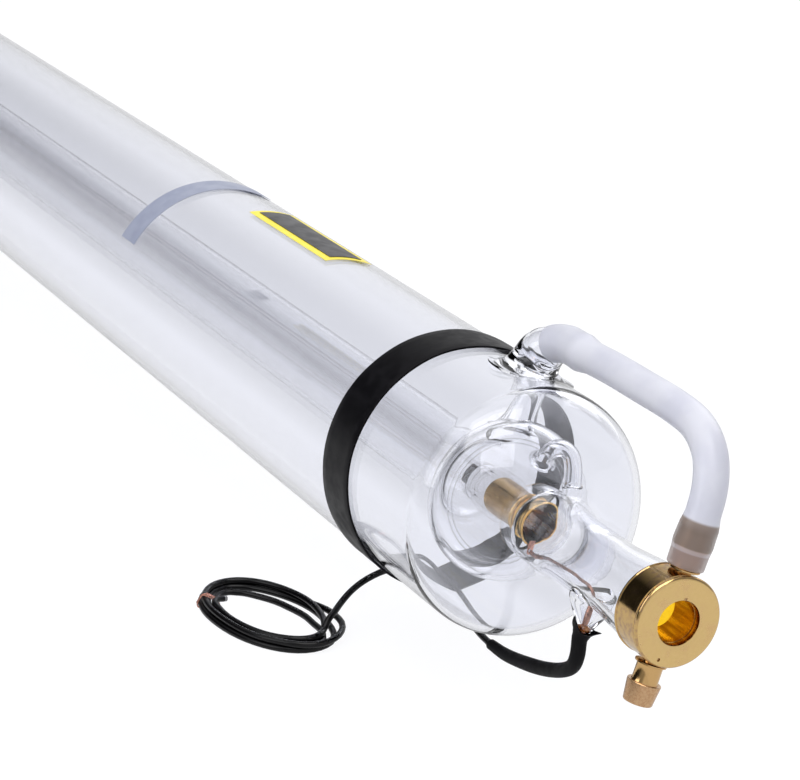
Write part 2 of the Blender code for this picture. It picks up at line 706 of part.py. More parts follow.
def barb_top():
    return head_radius() + SEAT_GAP + BARB_FLANGE_THICKNESS


def make_barbs(finish, frame):
    radius = head_radius()
    top = barb_top()
    ridge = top + BARB_SHANK_LENGTH
    end = ridge + BARB_RIDGE_LENGTH
    outline = [(radius - BARB_SPIGOT_LENGTH, BARB_BORE_RADIUS),
               (radius - BARB_SPIGOT_LENGTH, BARB_SPIGOT_RADIUS),
               (radius + SEAT_GAP, BARB_SPIGOT_RADIUS),
               (radius + SEAT_GAP, BARB_FLANGE_RADIUS), (top, BARB_FLANGE_RADIUS),
               (top, BARB_SHANK_RADIUS), (ridge, BARB_SHANK_RADIUS),
               (ridge, BARB_RIDGE_RADIUS), (end, BARB_TIP_RADIUS), (end, BARB_BORE_RADIUS)]
    for name, turn in (("upper_barb", 0), ("lower_barb", math.pi)):
        barb = add(name, turned_mesh(name, outline, SMALL_SIDES), finish, frame)
        barb.location = (behind(BARB_BEHIND_FACE), 0, 0)
        barb.rotation_euler = (turn, 0, 0)


def make_lens(glass, frame):
    back = behind(HEAD_LENGTH)
    front = back + LENS_THICKNESS
    outline = [(back, 0), (back, lens_radius()), (front, lens_radius()), (front, 0)]
    turned_on_axis("output_lens", outline, SHELL_SIDES, glass, frame, closed=False)


def make_rear_head(metal, mirror, frame):
    radius = head_radius()
    inner = ahead(REAR_HEAD_LENGTH)
    rear = -FACE_X
    shoulder = inner - MIRROR_THICKNESS - SEAT_GAP
    pocket = lens_radius() + SEAT_GAP
    outline = [(inner, pocket), (inner, radius), (rear + HEAD_EDGE, radius),
               (rear, radius - HEAD_EDGE), (rear, REAR_RIM_RADIUS),
               (shoulder, REAR_RIM_RADIUS), (shoulder, pocket)]
    turned_on_axis("rear_head", outline, SHELL_SIDES, metal, frame)
    outline = [(inner - MIRROR_THICKNESS, 0), (inner - MIRROR_THICKNESS, lens_radius()),
               (inner, lens_radius()), (inner, 0)]
    turned_on_axis("rear_mirror", outline, SHELL_SIDES, mirror, frame, closed=False)


def water_route():
    """The line that the front nipple and then the hose follow, in the rolled frame."""
    x = inside(NIPPLE_IN)
    top = SHELL_RADIUS + NIPPLE_RISE
    barb = behind(BARB_BEHIND_FACE)
    nip = NIPPLE_BEND
    turn = HOSE_BEND
    nipple = [(x, SHELL_RADIUS - NIPPLE_FOOT), (x, SHELL_RADIUS + NIPPLE_RISE * 0.24),
              (x + nip * 0.15, top - nip * 0.47), (x + nip * 0.51, top - nip * 0.14),
              (x + nip, top), (x + (nip + NIPPLE_REACH) / 2, top), (x + NIPPLE_REACH, top)]
    run = [(x + NIPPLE_REACH + turn * 0.7, top + HOSE_CROWN),
           (barb - turn * 2.1, top + HOSE_CROWN), (barb - turn * 1.3, top + HOSE_CROWN * 0.7),
           (barb - turn * 0.7, top - turn * 0.05), (barb - turn * 0.28, top - turn * 0.27),
           (barb - turn * 0.06, top - turn * 0.61), (barb, top - turn),
           (barb, barb_top() + turn * 0.35), (barb, barb_top() + SEAT_GAP)]
    return ([Vector((a, 0, b)) for a, b in nipple], [Vector((a, 0, b)) for a, b in run])


def filled_in(outline, pitch):
    """Add rings between those of an outline, so that a bent piece bends smoothly."""
    full = [outline[0]]
    for (place, radius), (next_place, next_radius) in zip(outline, outline[1:]):
        count = max(1, round(abs(next_place - place) / pitch))
        for step in range(1, count + 1):
            t = step / count
            full.append((place + (next_place - place) * t, radius + (next_radius - radius) * t))
    return full


def make_front_nipple(finish, frame, clearance):
    path = Path(water_route()[0])
    end = path.length
    base = NIPPLE_FOOT
    outer = [(0, NIPPLE_FLARE_RADIUS), (base + NIPPLE_FLARE_HEIGHT * 0.2, NIPPLE_FLARE_RADIUS),
             (base + NIPPLE_FLARE_HEIGHT * 0.6, NIPPLE_RADIUS * 1.35),
             (base + NIPPLE_FLARE_HEIGHT, NIPPLE_RADIUS), (end - 4 * MM, NIPPLE_RADIUS),
             (end - 2.4 * MM, NIPPLE_BEAD_RADIUS), (end - 1 * MM, NIPPLE_BEAD_RADIUS),
             (end, NIPPLE_RADIUS)]
    bore = NIPPLE_RADIUS - NIPPLE_WALL
    outline = filled_in(outer, 4 * MM) + filled_in([(end, bore), (0, bore)], 5 * MM)
    mesh = bent_mesh("front_nipple", path, outline, SMALL_SIDES)
    nipple = add("front_nipple", mesh, finish, frame)
    boolean(nipple, "DIFFERENCE", clearance)
    return nipple


def make_rear_nipple(finish, frame, clearance):
    foot = SHELL_RADIUS - NIPPLE_FOOT
    end = SHELL_RADIUS + REAR_NIPPLE_HEIGHT
    bore = NIPPLE_RADIUS - NIPPLE_WALL
    flare = SHELL_RADIUS + NIPPLE_FLARE_HEIGHT
    outline = [(foot, bore), (foot, NIPPLE_FLARE_RADIUS), (SHELL_RADIUS, NIPPLE_FLARE_RADIUS),
               (flare - NIPPLE_FLARE_HEIGHT * 0.4, NIPPLE_RADIUS * 1.35),
               (flare, NIPPLE_RADIUS), (end - 4 * MM, NIPPLE_RADIUS),
               (end - 2.4 * MM, NIPPLE_BEAD_RADIUS), (end - 1 * MM, NIPPLE_BEAD_RADIUS),
               (end, NIPPLE_RADIUS), (end, bore)]
    nipple = add("rear_nipple", turned_mesh("rear_nipple", outline, SMALL_SIDES), finish, frame)
    nipple.location = (ahead(REAR_NIPPLE_FORWARD), 0, 0)
    nipple.rotation_euler = (math.pi, 0, math.pi / SMALL_SIDES)
    boolean(nipple, "DIFFERENCE", clearance)
    return nipple


def make_hose(finish, frame):
    nipple, run = water_route()
    path = Path(nipple + run)
    over_nipple = Path(nipple).length
    start = over_nipple - HOSE_GRIP_BACK
    end = path.length
    grip = end - HOSE_GRIP_FRONT
    bore = HOSE_RADIUS - HOSE_WALL
    back_bore = NIPPLE_BEAD_RADIUS + SEAT_GAP
    front_bore = BARB_RIDGE_RADIUS + SEAT_GAP
    inner = [(start, back_bore), (over_nipple + SEAT_GAP, back_bore),
             (over_nipple + 4 * MM, bore), (grip - 4 * MM, bore), (grip, front_bore),
             (end, front_bore)]
    back_skin = back_bore + HOSE_STRETCHED_WALL
    front_skin = front_bore + HOSE_STRETCHED_WALL
    outer = [(start, back_skin), (over_nipple + SEAT_GAP, back_skin),
             (over_nipple + 4 * MM, HOSE_RADIUS), (grip - 4 * MM, HOSE_RADIUS),
             (grip, front_skin), (end, front_skin)]
    outline = filled_in(outer, 9 * MM) + list(reversed(filled_in(inner, 9 * MM)))
    return add("cooling_hose", bent_mesh("cooling_hose", path, outline, SMALL_SIDES),
               finish, frame)


def routed(route):
    """Points of the sleeve's and the lead's routes, in the world."""
    stem = behind(CATHODE_STEM_BACK)
    return [Vector((stem + (inside(BAND_IN) - stem) * share, y * SHELL_RADIUS, z * SHELL_RADIUS))
            for share, y, z in route]


def lead_seat():
    """Where the cathode lead runs under the band: distance from the axis and angle."""
    seat = routed(LEAD_ROUTE)[-1]
    return math.hypot(seat.y, seat.z), math.atan2(seat.y, seat.z)


def surface_z():
    """Height of the surface that the coil lies on."""
    return -SHELL_RADIUS - SURFACE_BELOW_SHELL


def make_band(finish):
    """A tight band that lies on the glass and is drawn over the lead like a tent."""
    seat = SHELL_RADIUS + SEAT_GAP
    distance, seat_angle = lead_seat()
    lift = math.acos((seat - WIRE_RADIUS - SEAT_GAP) / distance)
    sides = SHELL_SIDES + 14
    bm = bmesh.new()
    rings = []
    for x in (inside(BAND_IN) - BAND_WIDTH / 2, inside(BAND_IN) + BAND_WIDTH / 2):
        for extra in (0, BAND_THICKNESS):
            ring = []
            for side in range(sides):
                turn = math.tau * side / sides
                off = min(turn, math.tau - turn)
                radius = seat + extra
                if off < lift:
                    radius = min(radius / math.cos(lift - off),
                                 distance + WIRE_RADIUS + SEAT_GAP + extra)
                angle = seat_angle + turn
                ring.append(bm.verts.new((x, radius * math.sin(angle),
                                          radius * math.cos(angle))))
            rings.append(ring)
    order = [rings[0], rings[1], rings[3], rings[2]]
    for first, second in zip(order, order[1:] + order[:1]):
        for side in range(sides):
            after = (side + 1) % sides
            bm.faces.new((first[side], first[after], second[after], second[side]))
    return add("black_band", mesh_from("black_band", bm), finish)


def label_mesh(name, length, width, start, lift):
    """A thin label wrapped on the shell. Start is the angle of its lower edge."""
    bm = bmesh.new()
    seat = SHELL_RADIUS + lift
    cuts = max(3, round(math.degrees(width / SHELL_RADIUS) / 7))
    rows = []
    for cut in range(cuts + 1):
        angle = start + width * cut / cuts / SHELL_RADIUS
        row = []
        for radius in (seat, seat + LABEL_THICKNESS):
            for end in (-1, 1):
                row.append(bm.verts.new((end * length / 2, radius * math.sin(angle),
                                         radius * math.cos(angle))))
        rows.append(row)
    for a, b in zip(rows, rows[1:]):
        for i, j in ((0, 1), (1, 3), (3, 2), (2, 0)):
            bm.faces.new((a[i], a[j], b[j], b[i]))
    for row in (rows[0], rows[-1]):
        bm.faces.new((row[0], row[1], row[3], row[2]))
    return mesh_from(name, bm)


def make_labels(finishes, frame):
    yellow, dark, grey = finishes
    mesh = label_mesh("label_field", LABEL_LENGTH, LABEL_WIDTH, LABEL_START, SEAT_GAP)
    field = add("label_field", mesh, yellow, frame)
    field.location = (behind(LABEL_BACK), 0, 0)
    mesh = label_mesh("label_panel", LABEL_LENGTH - 2 * PANEL_MARGIN,
                      LABEL_WIDTH - 2 * PANEL_MARGIN, LABEL_START + PANEL_MARGIN / SHELL_RADIUS,
                      2 * SEAT_GAP + LABEL_THICKNESS)
    panel = add("label_panel", mesh, dark, frame)
    panel.location = (behind(LABEL_BACK), 0, 0)
    mesh = label_mesh("strip_label", STRIP_WIDTH, STRIP_LENGTH, STRIP_START, SEAT_GAP)
    strip = add("strip_label", mesh, grey, frame)
    strip.location = (behind(STRIP_BACK), 0, 0)


def make_sleeve(finish):
    """Heat-shrink over the pin and the start of the lead, cupped round the stem's tip."""
    stem = Vector((behind(CATHODE_STEM_BACK), 0, 0))
    top = stem_tip() - SLEEVE_CUP_DEPTH
    floor = SLEEVE_CUP_DEPTH + PIN_TIP_DROP + 2 * SEAT_GAP
    route = [stem - UP * top, stem - UP * (top + floor / 2), stem - UP * (top + floor)]
    path = Path(route + routed(SLEEVE_ROUTE))
    mouth = stem_radius(top) + SEAT_GAP
    cup = [(floor, PIN_RADIUS + SEAT_GAP), (SLEEVE_CUP_DEPTH + SEAT_GAP, STEM_TIP_RADIUS),
           (0, mouth)]
    outer = [(0, mouth + 0.5 * MM), (floor / 2, SLEEVE_RADIUS + 0.5 * MM), (floor, SLEEVE_RADIUS),
             (path.length * 0.6, SLEEVE_RADIUS), (path.length, SLEEVE_END_RADIUS)]
    outline = cup + filled_in(outer, 4 * MM)
    return add("heat_shrink_sleeve", bent_mesh("heat_shrink_sleeve", path, outline, WIRE_SIDES,
                                               closed=False), finish)


def make_cathode_wire(finish):
    under_band = routed(LEAD_ROUTE)
    high = under_band[-1].z
    low = surface_z() + COIL_BUNDLE_HEIGHT + WIRE_RADIUS + SEAT_GAP
    tail = routed([(share, y, 0) for share, y, drop in TAIL_ROUTE])
    for point, (share, y, drop) in zip(tail, TAIL_ROUTE):
        point.z = high + (low - high) * drop
    return wire_curve("cathode_wire", smooth_path(under_band + tail, 2), WIRE_RADIUS, finish)


def coil_frame(angle):
    """Centre of the coil's bundle at an angle, and its outward direction there."""
    turn = Matrix.Rotation(COIL_TURN, 3, "Z")
    centre = Vector((inside(BAND_IN) - COIL_BEHIND_BAND, -SHELL_RADIUS - COIL_BESIDE_SHELL,
                     surface_z() + COIL_BUNDLE_HEIGHT / 2))
    place = Vector((COIL_HALF_LENGTH * math.cos(angle), COIL_HALF_WIDTH * math.sin(angle), 0))
    out = Vector((math.cos(angle) / COIL_HALF_LENGTH, math.sin(angle) / COIL_HALF_WIDTH, 0))
    return centre + turn @ place, (turn @ out).normalized()


def bundle_size(angle):
    """Half width and half height of the bundle, drawn together under its tie."""
    off = math.remainder(angle - TIE_ANGLE, math.tau)
    drawn = 1 - TIE_SQUEEZE * math.exp(-(off / TIE_SPREAD) ** 2)
    return COIL_BUNDLE_WIDTH / 2 * drawn, COIL_BUNDLE_HEIGHT / 2 * drawn


def bundle_ring(bm, angle, sides, grow):
    centre, out = coil_frame(angle)
    half_width, half_height = bundle_size(angle)
    ring = []
    for side in range(sides):
        turn = math.tau * (side + 0.5) / sides
        reach = (half_width + grow) * math.sin(turn)
        rise = (half_height + grow) * math.cos(turn)
        ring.append(bm.verts.new(centre + out * reach + Vector((0, 0, rise))))
    return ring


def skin(bm, rings):
    for first, second in rings:
        count = len(first)
        for side in range(count):
            after = (side + 1) % count
            bm.faces.new((first[side], first[after], second[after], second[side]))


def make_coil(finish):
    bm = bmesh.new()
    rings = [bundle_ring(bm, math.tau * i / 28, WIRE_SIDES, 0) for i in range(28)]
    skin(bm, zip(rings, rings[1:] + rings[:1]))
    return add("cathode_wire_coil", mesh_from("cathode_wire_coil", bm), finish)


def make_tie(finish):
    """Bare copper strands wound round the coil's bundle."""
    bm = bmesh.new()
    half = TIE_LENGTH / 2 / COIL_HALF_WIDTH
    angles = (TIE_ANGLE - half, TIE_ANGLE, TIE_ANGLE + half)
    inner = [bundle_ring(bm, angle, WIRE_SIDES, SEAT_GAP) for angle in angles]
    outer = [bundle_ring(bm, angle, WIRE_SIDES, SEAT_GAP + TIE_THICKNESS)
             for angle in angles]
    order = inner + outer[::-1]
    skin(bm, zip(order, order[1:] + order[:1]))
    return add("wire_tie", mesh_from("wire_tie", bm), finish)


def main():
    for old in list(bpy.data.objects):
        bpy.data.objects.remove(old, do_unlink=True)
    frame = bpy.data.objects.new("rolled_axis", None)
    bpy.context.scene.collection.objects.link(frame)
    frame.rotation_euler = (-ROLL, 0, 0)
    clear_glass = material("clear_glass", (0.90, 0.91, 0.96), 0.03, clear=1.0)
    gold = material("gilt_metal", (0.83, 0.66, 0.33), 0.2, metallic=1.0)
    bronze = material("bronze", (0.55, 0.42, 0.24), 0.3, metallic=1.0)
    copper = material("copper", (0.72, 0.38, 0.24), 0.35, metallic=1.0)
    lens_glass = material("lens_glass", (0.85, 0.62, 0.12), 0.1, clear=0.3)
    mirror = material("mirror_metal", (0.85, 0.83, 0.78), 0.05, metallic=1.0)
    silicone = material("silicone", (0.85, 0.85, 0.89), 0.35)
    black = material("black_plastic", (0.02, 0.02, 0.022), 0.45)
    yellow = material("yellow_film", (0.85, 0.75, 0.06), 0.4)
    dark = material("dark_film", (0.07, 0.07, 0.075), 0.4)
    grey = material("grey_film", (0.35, 0.38, 0.48), 0.4)

    clearance = shell_clearance(frame)
    make_outer_tube(clear_glass, frame)
    make_water_jacket(clear_glass, frame)
    make_cathode_chamber(clear_glass, frame)
    make_discharge_tube(clear_glass, frame)
    make_return_tube(clear_glass, frame)
    make_cathode(bronze, frame)
    make_tab(copper, frame)
    make_cathode_lead(copper, frame)
    make_electrode(("cathode_stem", "cathode_pin"), behind(CATHODE_STEM_BACK),
                   (clear_glass, copper), frame, clearance)
    make_anode(bronze, frame)
    make_anode_lead(copper, frame)
    make_electrode(("anode_stem", "anode_pin"), ahead(ANODE_STEM_FORWARD),
                   (clear_glass, copper), frame, clearance)
    make_output_head(gold, frame)
    make_barbs(gold, frame)
    make_lens(lens_glass, frame)
    make_rear_head(gold, mirror, frame)
    make_front_nipple(clear_glass, frame, clearance)
    make_rear_nipple(clear_glass, frame, clearance)
    make_hose(silicone, frame)
    make_band(black)
    make_labels((yellow, dark, grey), frame)
    make_sleeve(black)
    make_cathode_wire(black)
    make_coil(black)
    make_tie(copper)


main()
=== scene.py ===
import math

import bpy
from mathutils import Matrix, Vector


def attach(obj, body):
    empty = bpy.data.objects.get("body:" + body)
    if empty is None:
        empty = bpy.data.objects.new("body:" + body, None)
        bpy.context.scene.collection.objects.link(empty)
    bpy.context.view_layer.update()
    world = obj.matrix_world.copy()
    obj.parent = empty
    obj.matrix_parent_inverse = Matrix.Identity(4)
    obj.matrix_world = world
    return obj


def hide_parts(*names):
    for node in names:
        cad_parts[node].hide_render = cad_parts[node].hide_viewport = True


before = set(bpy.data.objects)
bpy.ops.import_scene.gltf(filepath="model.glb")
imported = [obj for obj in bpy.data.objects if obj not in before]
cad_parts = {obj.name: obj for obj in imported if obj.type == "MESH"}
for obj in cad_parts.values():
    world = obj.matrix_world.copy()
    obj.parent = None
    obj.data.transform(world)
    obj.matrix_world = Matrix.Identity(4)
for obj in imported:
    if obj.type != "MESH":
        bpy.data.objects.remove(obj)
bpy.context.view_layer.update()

# Sizes are in millimetres, and become metres where Blender takes them.
MM = 0.001
FACE_X = 600
NECK_FOOT_X = 527.3
STEM_X = 557.4
REAR_STEM_X = -560
REAR_NIPPLE_X = -470
BAND_X = NECK_FOOT_X - 69.15
BARB_FOOT = 14.6
ROLL = math.radians(20)
SHELL_RADIUS = 40
SURFACE_Z = -59.4
UP = Vector((0, math.sin(ROLL), math.cos(ROLL)))
MERGE = 0.002 * MM
STUDIO_WHITE = (0.983, 0.987, 1)


def add_camera():
    """The photograph's view: a long lens, looking down and back along the tube."""
    pitch, yaw = math.radians(19.257), math.radians(25.40)
    ahead = Vector((-math.cos(yaw) * math.cos(pitch), math.sin(yaw) * math.cos(pitch),
                    -math.sin(pitch)))
    right = ahead.cross(Vector((0, 0, 1))).normalized()
    above = right.cross(ahead)
    data = bpy.data.cameras.new("camera")
    data.sensor_width = 36
    data.lens = 129.97
    camera = bpy.data.objects.new("camera", data)
    bpy.context.scene.collection.objects.link(camera)
    turn = Matrix((right, above, -ahead)).transposed().to_4x4()
    camera.matrix_world = Matrix.Translation((1.23057, -0.38504, 0.32531)) @ turn
    bpy.context.scene.camera = camera


class Value:
    """A socket, wrapped so that sums on it are written as plain sums."""

    def __init__(self, nodes, socket):
        self.nodes = nodes
        self.socket = socket

    def maths(self, operation, first, second):
        return self.nodes.node("ShaderNodeMath", {"operation": operation}, [first, second])

    def __add__(self, other):
        return self.maths("ADD", self, other)

    def __radd__(self, other):
        return self.maths("ADD", other, self)

    def __sub__(self, other):
        return self.maths("SUBTRACT", self, other)

    def __rsub__(self, other):
        return self.maths("SUBTRACT", other, self)

    def __mul__(self, other):
        return self.maths("MULTIPLY", self, other)

    def __rmul__(self, other):
        return self.maths("MULTIPLY", other, self)


class Nodes:
    """A tree of shader nodes, of a finish or of the room."""

    def __init__(self, tree):
        self.tree = tree

    def node(self, kind, settings=None, values=(), output=0):
        made = self.tree.nodes.new(kind)
        for key, setting in (settings or {}).items():
            setattr(made, key, setting)
        items = values.items() if isinstance(values, dict) else enumerate(values)
        for key, value in items:
            self.join(value, made.inputs[key])
        return Value(self, made.outputs[output])

    def join(self, value, socket):
        if isinstance(value, Value):
            self.tree.links.new(value.socket, socket)
        else:
            socket.default_value = (*value, 1) if socket.type == "RGBA" else value

    def band(self, value, low, high, bottom=0.0, top=1.0):
        """Spread one range of a value over another, smoothly and without going past it."""
        return self.node("ShaderNodeMapRange", {"interpolation_type": "SMOOTHSTEP"},
                         [value, low, high, bottom, top])

    def choose(self, share, first, second):
        return self.node("ShaderNodeMix", None, {0: share, 2: first, 3: second})

    def rays(self):
        """What is seen directly, in a mirror, and through glass."""
        return [self.node("ShaderNodeLightPath", output="Is " + kind + " Ray")
                for kind in ("Camera", "Glossy", "Transmission")]


class Finish(Nodes):
    """A material built in code. Patterns read the piece's own place in metres."""

    def __init__(self, name, **constants):
        self.material = bpy.data.materials.new(name)
        self.material.use_nodes = True
        super().__init__(self.material.node_tree)
        self.shader = self.tree.nodes["Principled BSDF"]
        self.place = self.node("ShaderNodeTexCoord", output="Object")
        self.set(**constants)

    def set(self, **sockets):
        for socket, value in sockets.items():
            self.join(value, self.shader.inputs[socket.replace("_", " ")])

    def stretched(self, scale, turn=(0, 0, 0)):
        """The piece's own place, turned and then stretched by a scale on each axis."""
        return self.node("ShaderNodeMapping", {"vector_type": "POINT"},
                         {"Vector": self.place, "Rotation": turn, "Scale": scale})

    def noise(self, scale, detail=3.0, where=None):
        return self.node("ShaderNodeTexNoise", None,
                         {"Vector": where or self.place, "Scale": scale, "Detail": detail})

    def straight(self, output):
        """The piece's own place with the roll taken out: 0 along, 1 across, 2 up."""
        place = self.stretched((1, 1, 1), (ROLL, 0, 0))
        return self.node("ShaderNodeSeparateXYZ", None, [place], output=output)

    def mix(self, factor, first, second):
        return self.node("ShaderNodeMix", {"data_type": "RGBA"},
                         {0: factor, 6: first, 7: second}, output=2)

    def bump(self, height, strength, depth):
        self.set(Normal=self.node("ShaderNodeBump", None, {
            "Strength": strength, "Distance": depth * MM, "Height": height}))


def make_glass(name, tint, wave):
    """Blown glass: slow waves of its wall along the tube, and a little haze."""
    glass = Finish(name, Base_Color=tint, Transmission_Weight=1.0, IOR=1.42)
    glass.bump(glass.noise(40.0, 1.0, glass.stretched((0.25, 1, 1))), wave, 0.4)
    glass.set(Roughness=glass.band(glass.noise(90.0, 4.0), 0.55, 0.8, 0.0, 0.035))
    return glass.material


def make_thin_glass_painted_edges(name, tint, at_edge):
    """The innermost walls: clear face on, and dark lines where they are seen edge on, which are
    painted shade in place of refraction.
    """
    glass = Finish(name, Base_Color=tint, Roughness=0.03, IOR=1.4)
    edge = glass.node("ShaderNodeLayerWeight", None, {"Blend": 0.5}, output=1)
    streaks = glass.band(glass.noise(60.0, 2.0, glass.stretched((0.05, 1, 1))), 0.45, 0.7)
    # The base colour is painted shade, shown only where the walls are seen edge on.
    glass.set(Alpha=glass.band(edge, 0.66, 0.97, 0.01, at_edge) + streaks * 0.015)
    return glass.material


def make_gold():
    """Turned and gilt brass: fine lathe rings, soft wear and a few duller patches."""
    gold = Finish("gilt_brass", Metallic=1.0)
    worn = gold.band(gold.noise(620.0, 5.0), 0.40, 0.72)
    patches = gold.band(gold.noise(120.0), 0.40, 0.72, 0.0, 0.12)
    gold.set(Base_Color=gold.mix(worn, (0.58, 0.39, 0.16), (0.42, 0.27, 0.15)),
             Roughness=0.07 + patches + worn * 0.05)
    gold.bump(gold.noise(900.0, 2.0, gold.stretched((1, 0.05, 0.05))), 0.06, 0.02)
    return gold.material


def make_gold_face():
    """The head's face is finer turned and satin, with a coppery bloom."""
    gold = Finish("satin_gilt_face", Metallic=1.0)
    fine = gold.band(gold.noise(1100.0, 6.0), 0.3, 0.7)
    bloom = gold.band(gold.noise(230.0, 4.0), 0.45, 0.75, 0.0, 0.55)
    base = gold.mix(fine, (0.69, 0.485, 0.205), (0.71, 0.50, 0.22))
    gold.set(Base_Color=gold.mix(bloom, base, (0.66, 0.42, 0.21)),
             Roughness=0.24 + bloom * 0.12)
    gold.bump(gold.noise(260.0), 0.05, 0.05)
    return gold.material


def make_bore_finish_painted_shade():
    """Inside the aperture: unpolished, drawn into streaks along the bore, and browner, which is
    painted shade inside it.
    """
    bore = Finish("bore_brass_painted_shade", Metallic=1.0)
    streaks = bore.band(bore.noise(420.0, 3.0, bore.stretched((0.08, 1, 1))), 0.40, 0.66)
    # The dark brown is painted shade for faces inside a recess.
    bore.set(Base_Color=bore.mix(streaks, (0.30, 0.14, 0.035), (0.66, 0.40, 0.10)),
             Roughness=0.16 + streaks * 0.14)
    return bore.material


def make_barb_finish():
    """Gilt barbs: a polished shank, and a cone worn to coppery pink by the hose."""
    gold = Finish("worn_gilt_barb", Metallic=1.0)
    height = gold.straight(2)
    cone = gold.band(height * height, 3.85e-4, 4.1e-4)
    fine = gold.band(gold.noise(1300.0, 5.0), 0.35, 0.7)
    pink = gold.mix(fine, (0.50, 0.30, 0.16), (0.60, 0.39, 0.22))
    gold.set(Base_Color=gold.mix(cone, (0.60, 0.38, 0.16), pink),
             Roughness=0.10 + cone * 0.16 + fine * 0.06)
    gold.bump(gold.noise(600.0, 4.0), 0.12, 0.03)
    return gold.material


def make_bronze():
    """Drawn bronze sleeve: lines along the tube and a brown heat stain."""
    bronze = Finish("drawn_bronze", Metallic=1.0)
    lines = bronze.noise(500.0, 3.0, bronze.stretched((0.06, 1, 1)))
    stain = bronze.band(bronze.noise(120.0, 2.0), 0.35, 0.65)
    bronze.set(Base_Color=bronze.mix(stain, (0.86, 0.57, 0.20), (0.66, 0.40, 0.13)),
               Roughness=0.13 + bronze.band(lines, 0.3, 0.7, 0.0, 0.08))
    bronze.bump(lines, 0.08, 0.03)
    return bronze.material


def make_copper(name, fresh, dulled, grain, polish, wear):
    """Copper, dull in small patches."""
    copper = Finish(name, Metallic=1.0)
    dull = copper.band(copper.noise(grain), 0.35, 0.65)
    copper.set(Base_Color=copper.mix(dull, fresh, dulled), Roughness=polish + dull * wear)
    return copper.material


def make_mirror():
    mirror = Finish("rear_mirror_face", Base_Color=(0.86, 0.84, 0.8), Metallic=1.0)
    mirror.set(Roughness=mirror.band(mirror.noise(300.0), 0.5, 0.75, 0.03, 0.12))
    return mirror.material


def make_amber_painted_glow():
    """The output lens: an amber mirror coat with a few duller patches, and a faint painted glow
    in the coat's colour.
    """
    # Emission paints a glow on the lens, in place of light that comes through it.
    amber = Finish("amber_lens_painted_glow", Transmission_Weight=0.7, IOR=1.5, Emission_Strength=0.22)
    patch = amber.band(amber.noise(160.0, 2.0), 0.4, 0.65)
    coat = amber.mix(patch, (1.0, 0.70, 0.03), (0.95, 0.58, 0.02))
    amber.set(Base_Color=coat, Emission_Color=coat, Roughness=0.06 + patch * 0.08)
    return amber.material


def make_bead_glass():
    bead = Finish("orange_seal", Roughness=0.1, Transmission_Weight=0.4, IOR=1.5)
    bead.set(Base_Color=bead.mix(bead.band(bead.noise(600.0), 0.4, 0.6),
                                 (0.80, 0.30, 0.06), (0.45, 0.14, 0.04)))
    return bead.material


def make_silicone():
    """Milky hose that lets some light through, in darker browns where it grips the barb."""
    hose = Finish("milky_silicone", Transmission_Weight=0.35, IOR=1.41)
    cloud = hose.band(hose.noise(70.0), 0.35, 0.65)
    milky = hose.mix(cloud, (0.70, 0.71, 0.80), (0.77, 0.78, 0.85))
    height = hose.straight(2)
    low = hose.mix(hose.band(height, 0.0193, 0.0198), (0.40, 0.31, 0.29), (0.58, 0.53, 0.57))
    gripped = hose.mix(hose.band(height, 0.0205, 0.0211), low, (0.30, 0.24, 0.21))
    over_barb = hose.band(height, 0.0255, 0.0290, 0.62, 1.0)
    over_nipple = hose.band(hose.straight(0), 0.5085, 0.5135, 0.80, 1.0)
    hose.set(Base_Color=hose.mix(hose.band(height, 0.0282, 0.0292), gripped, milky),
             Roughness=0.28 + cloud * 0.12, Alpha=over_barb * over_nipple)
    hose.bump(hose.noise(160.0), 0.15, 0.2)
    return hose.material


def make_black(name, shade, roughness, grain, gloss, tooth=0.25):
    black = Finish(name, Specular_IOR_Level=gloss)
    spots = black.band(black.noise(grain), 0.35, 0.7)
    black.set(Base_Color=black.mix(spots, (shade, shade * 0.94, shade * 1.25),
                                   (shade * 1.8, shade * 1.7, shade * 2.2)),
              Roughness=roughness + spots * 0.12)
    black.bump(black.noise(grain * 2.5), tooth, 0.06)
    return black.material


def make_film(name, colour, darker):
    """Printed film: nearly even colour, a fine paper tooth and a soft sheen."""
    film = Finish(name)
    cloud = film.band(film.noise(140.0, 4.0), 0.35, 0.7)
    film.set(Base_Color=film.mix(cloud, colour, darker), Roughness=0.32 + cloud * 0.12)
    film.bump(film.noise(2200.0, 2.0), 0.15, 0.02)
    return film.material


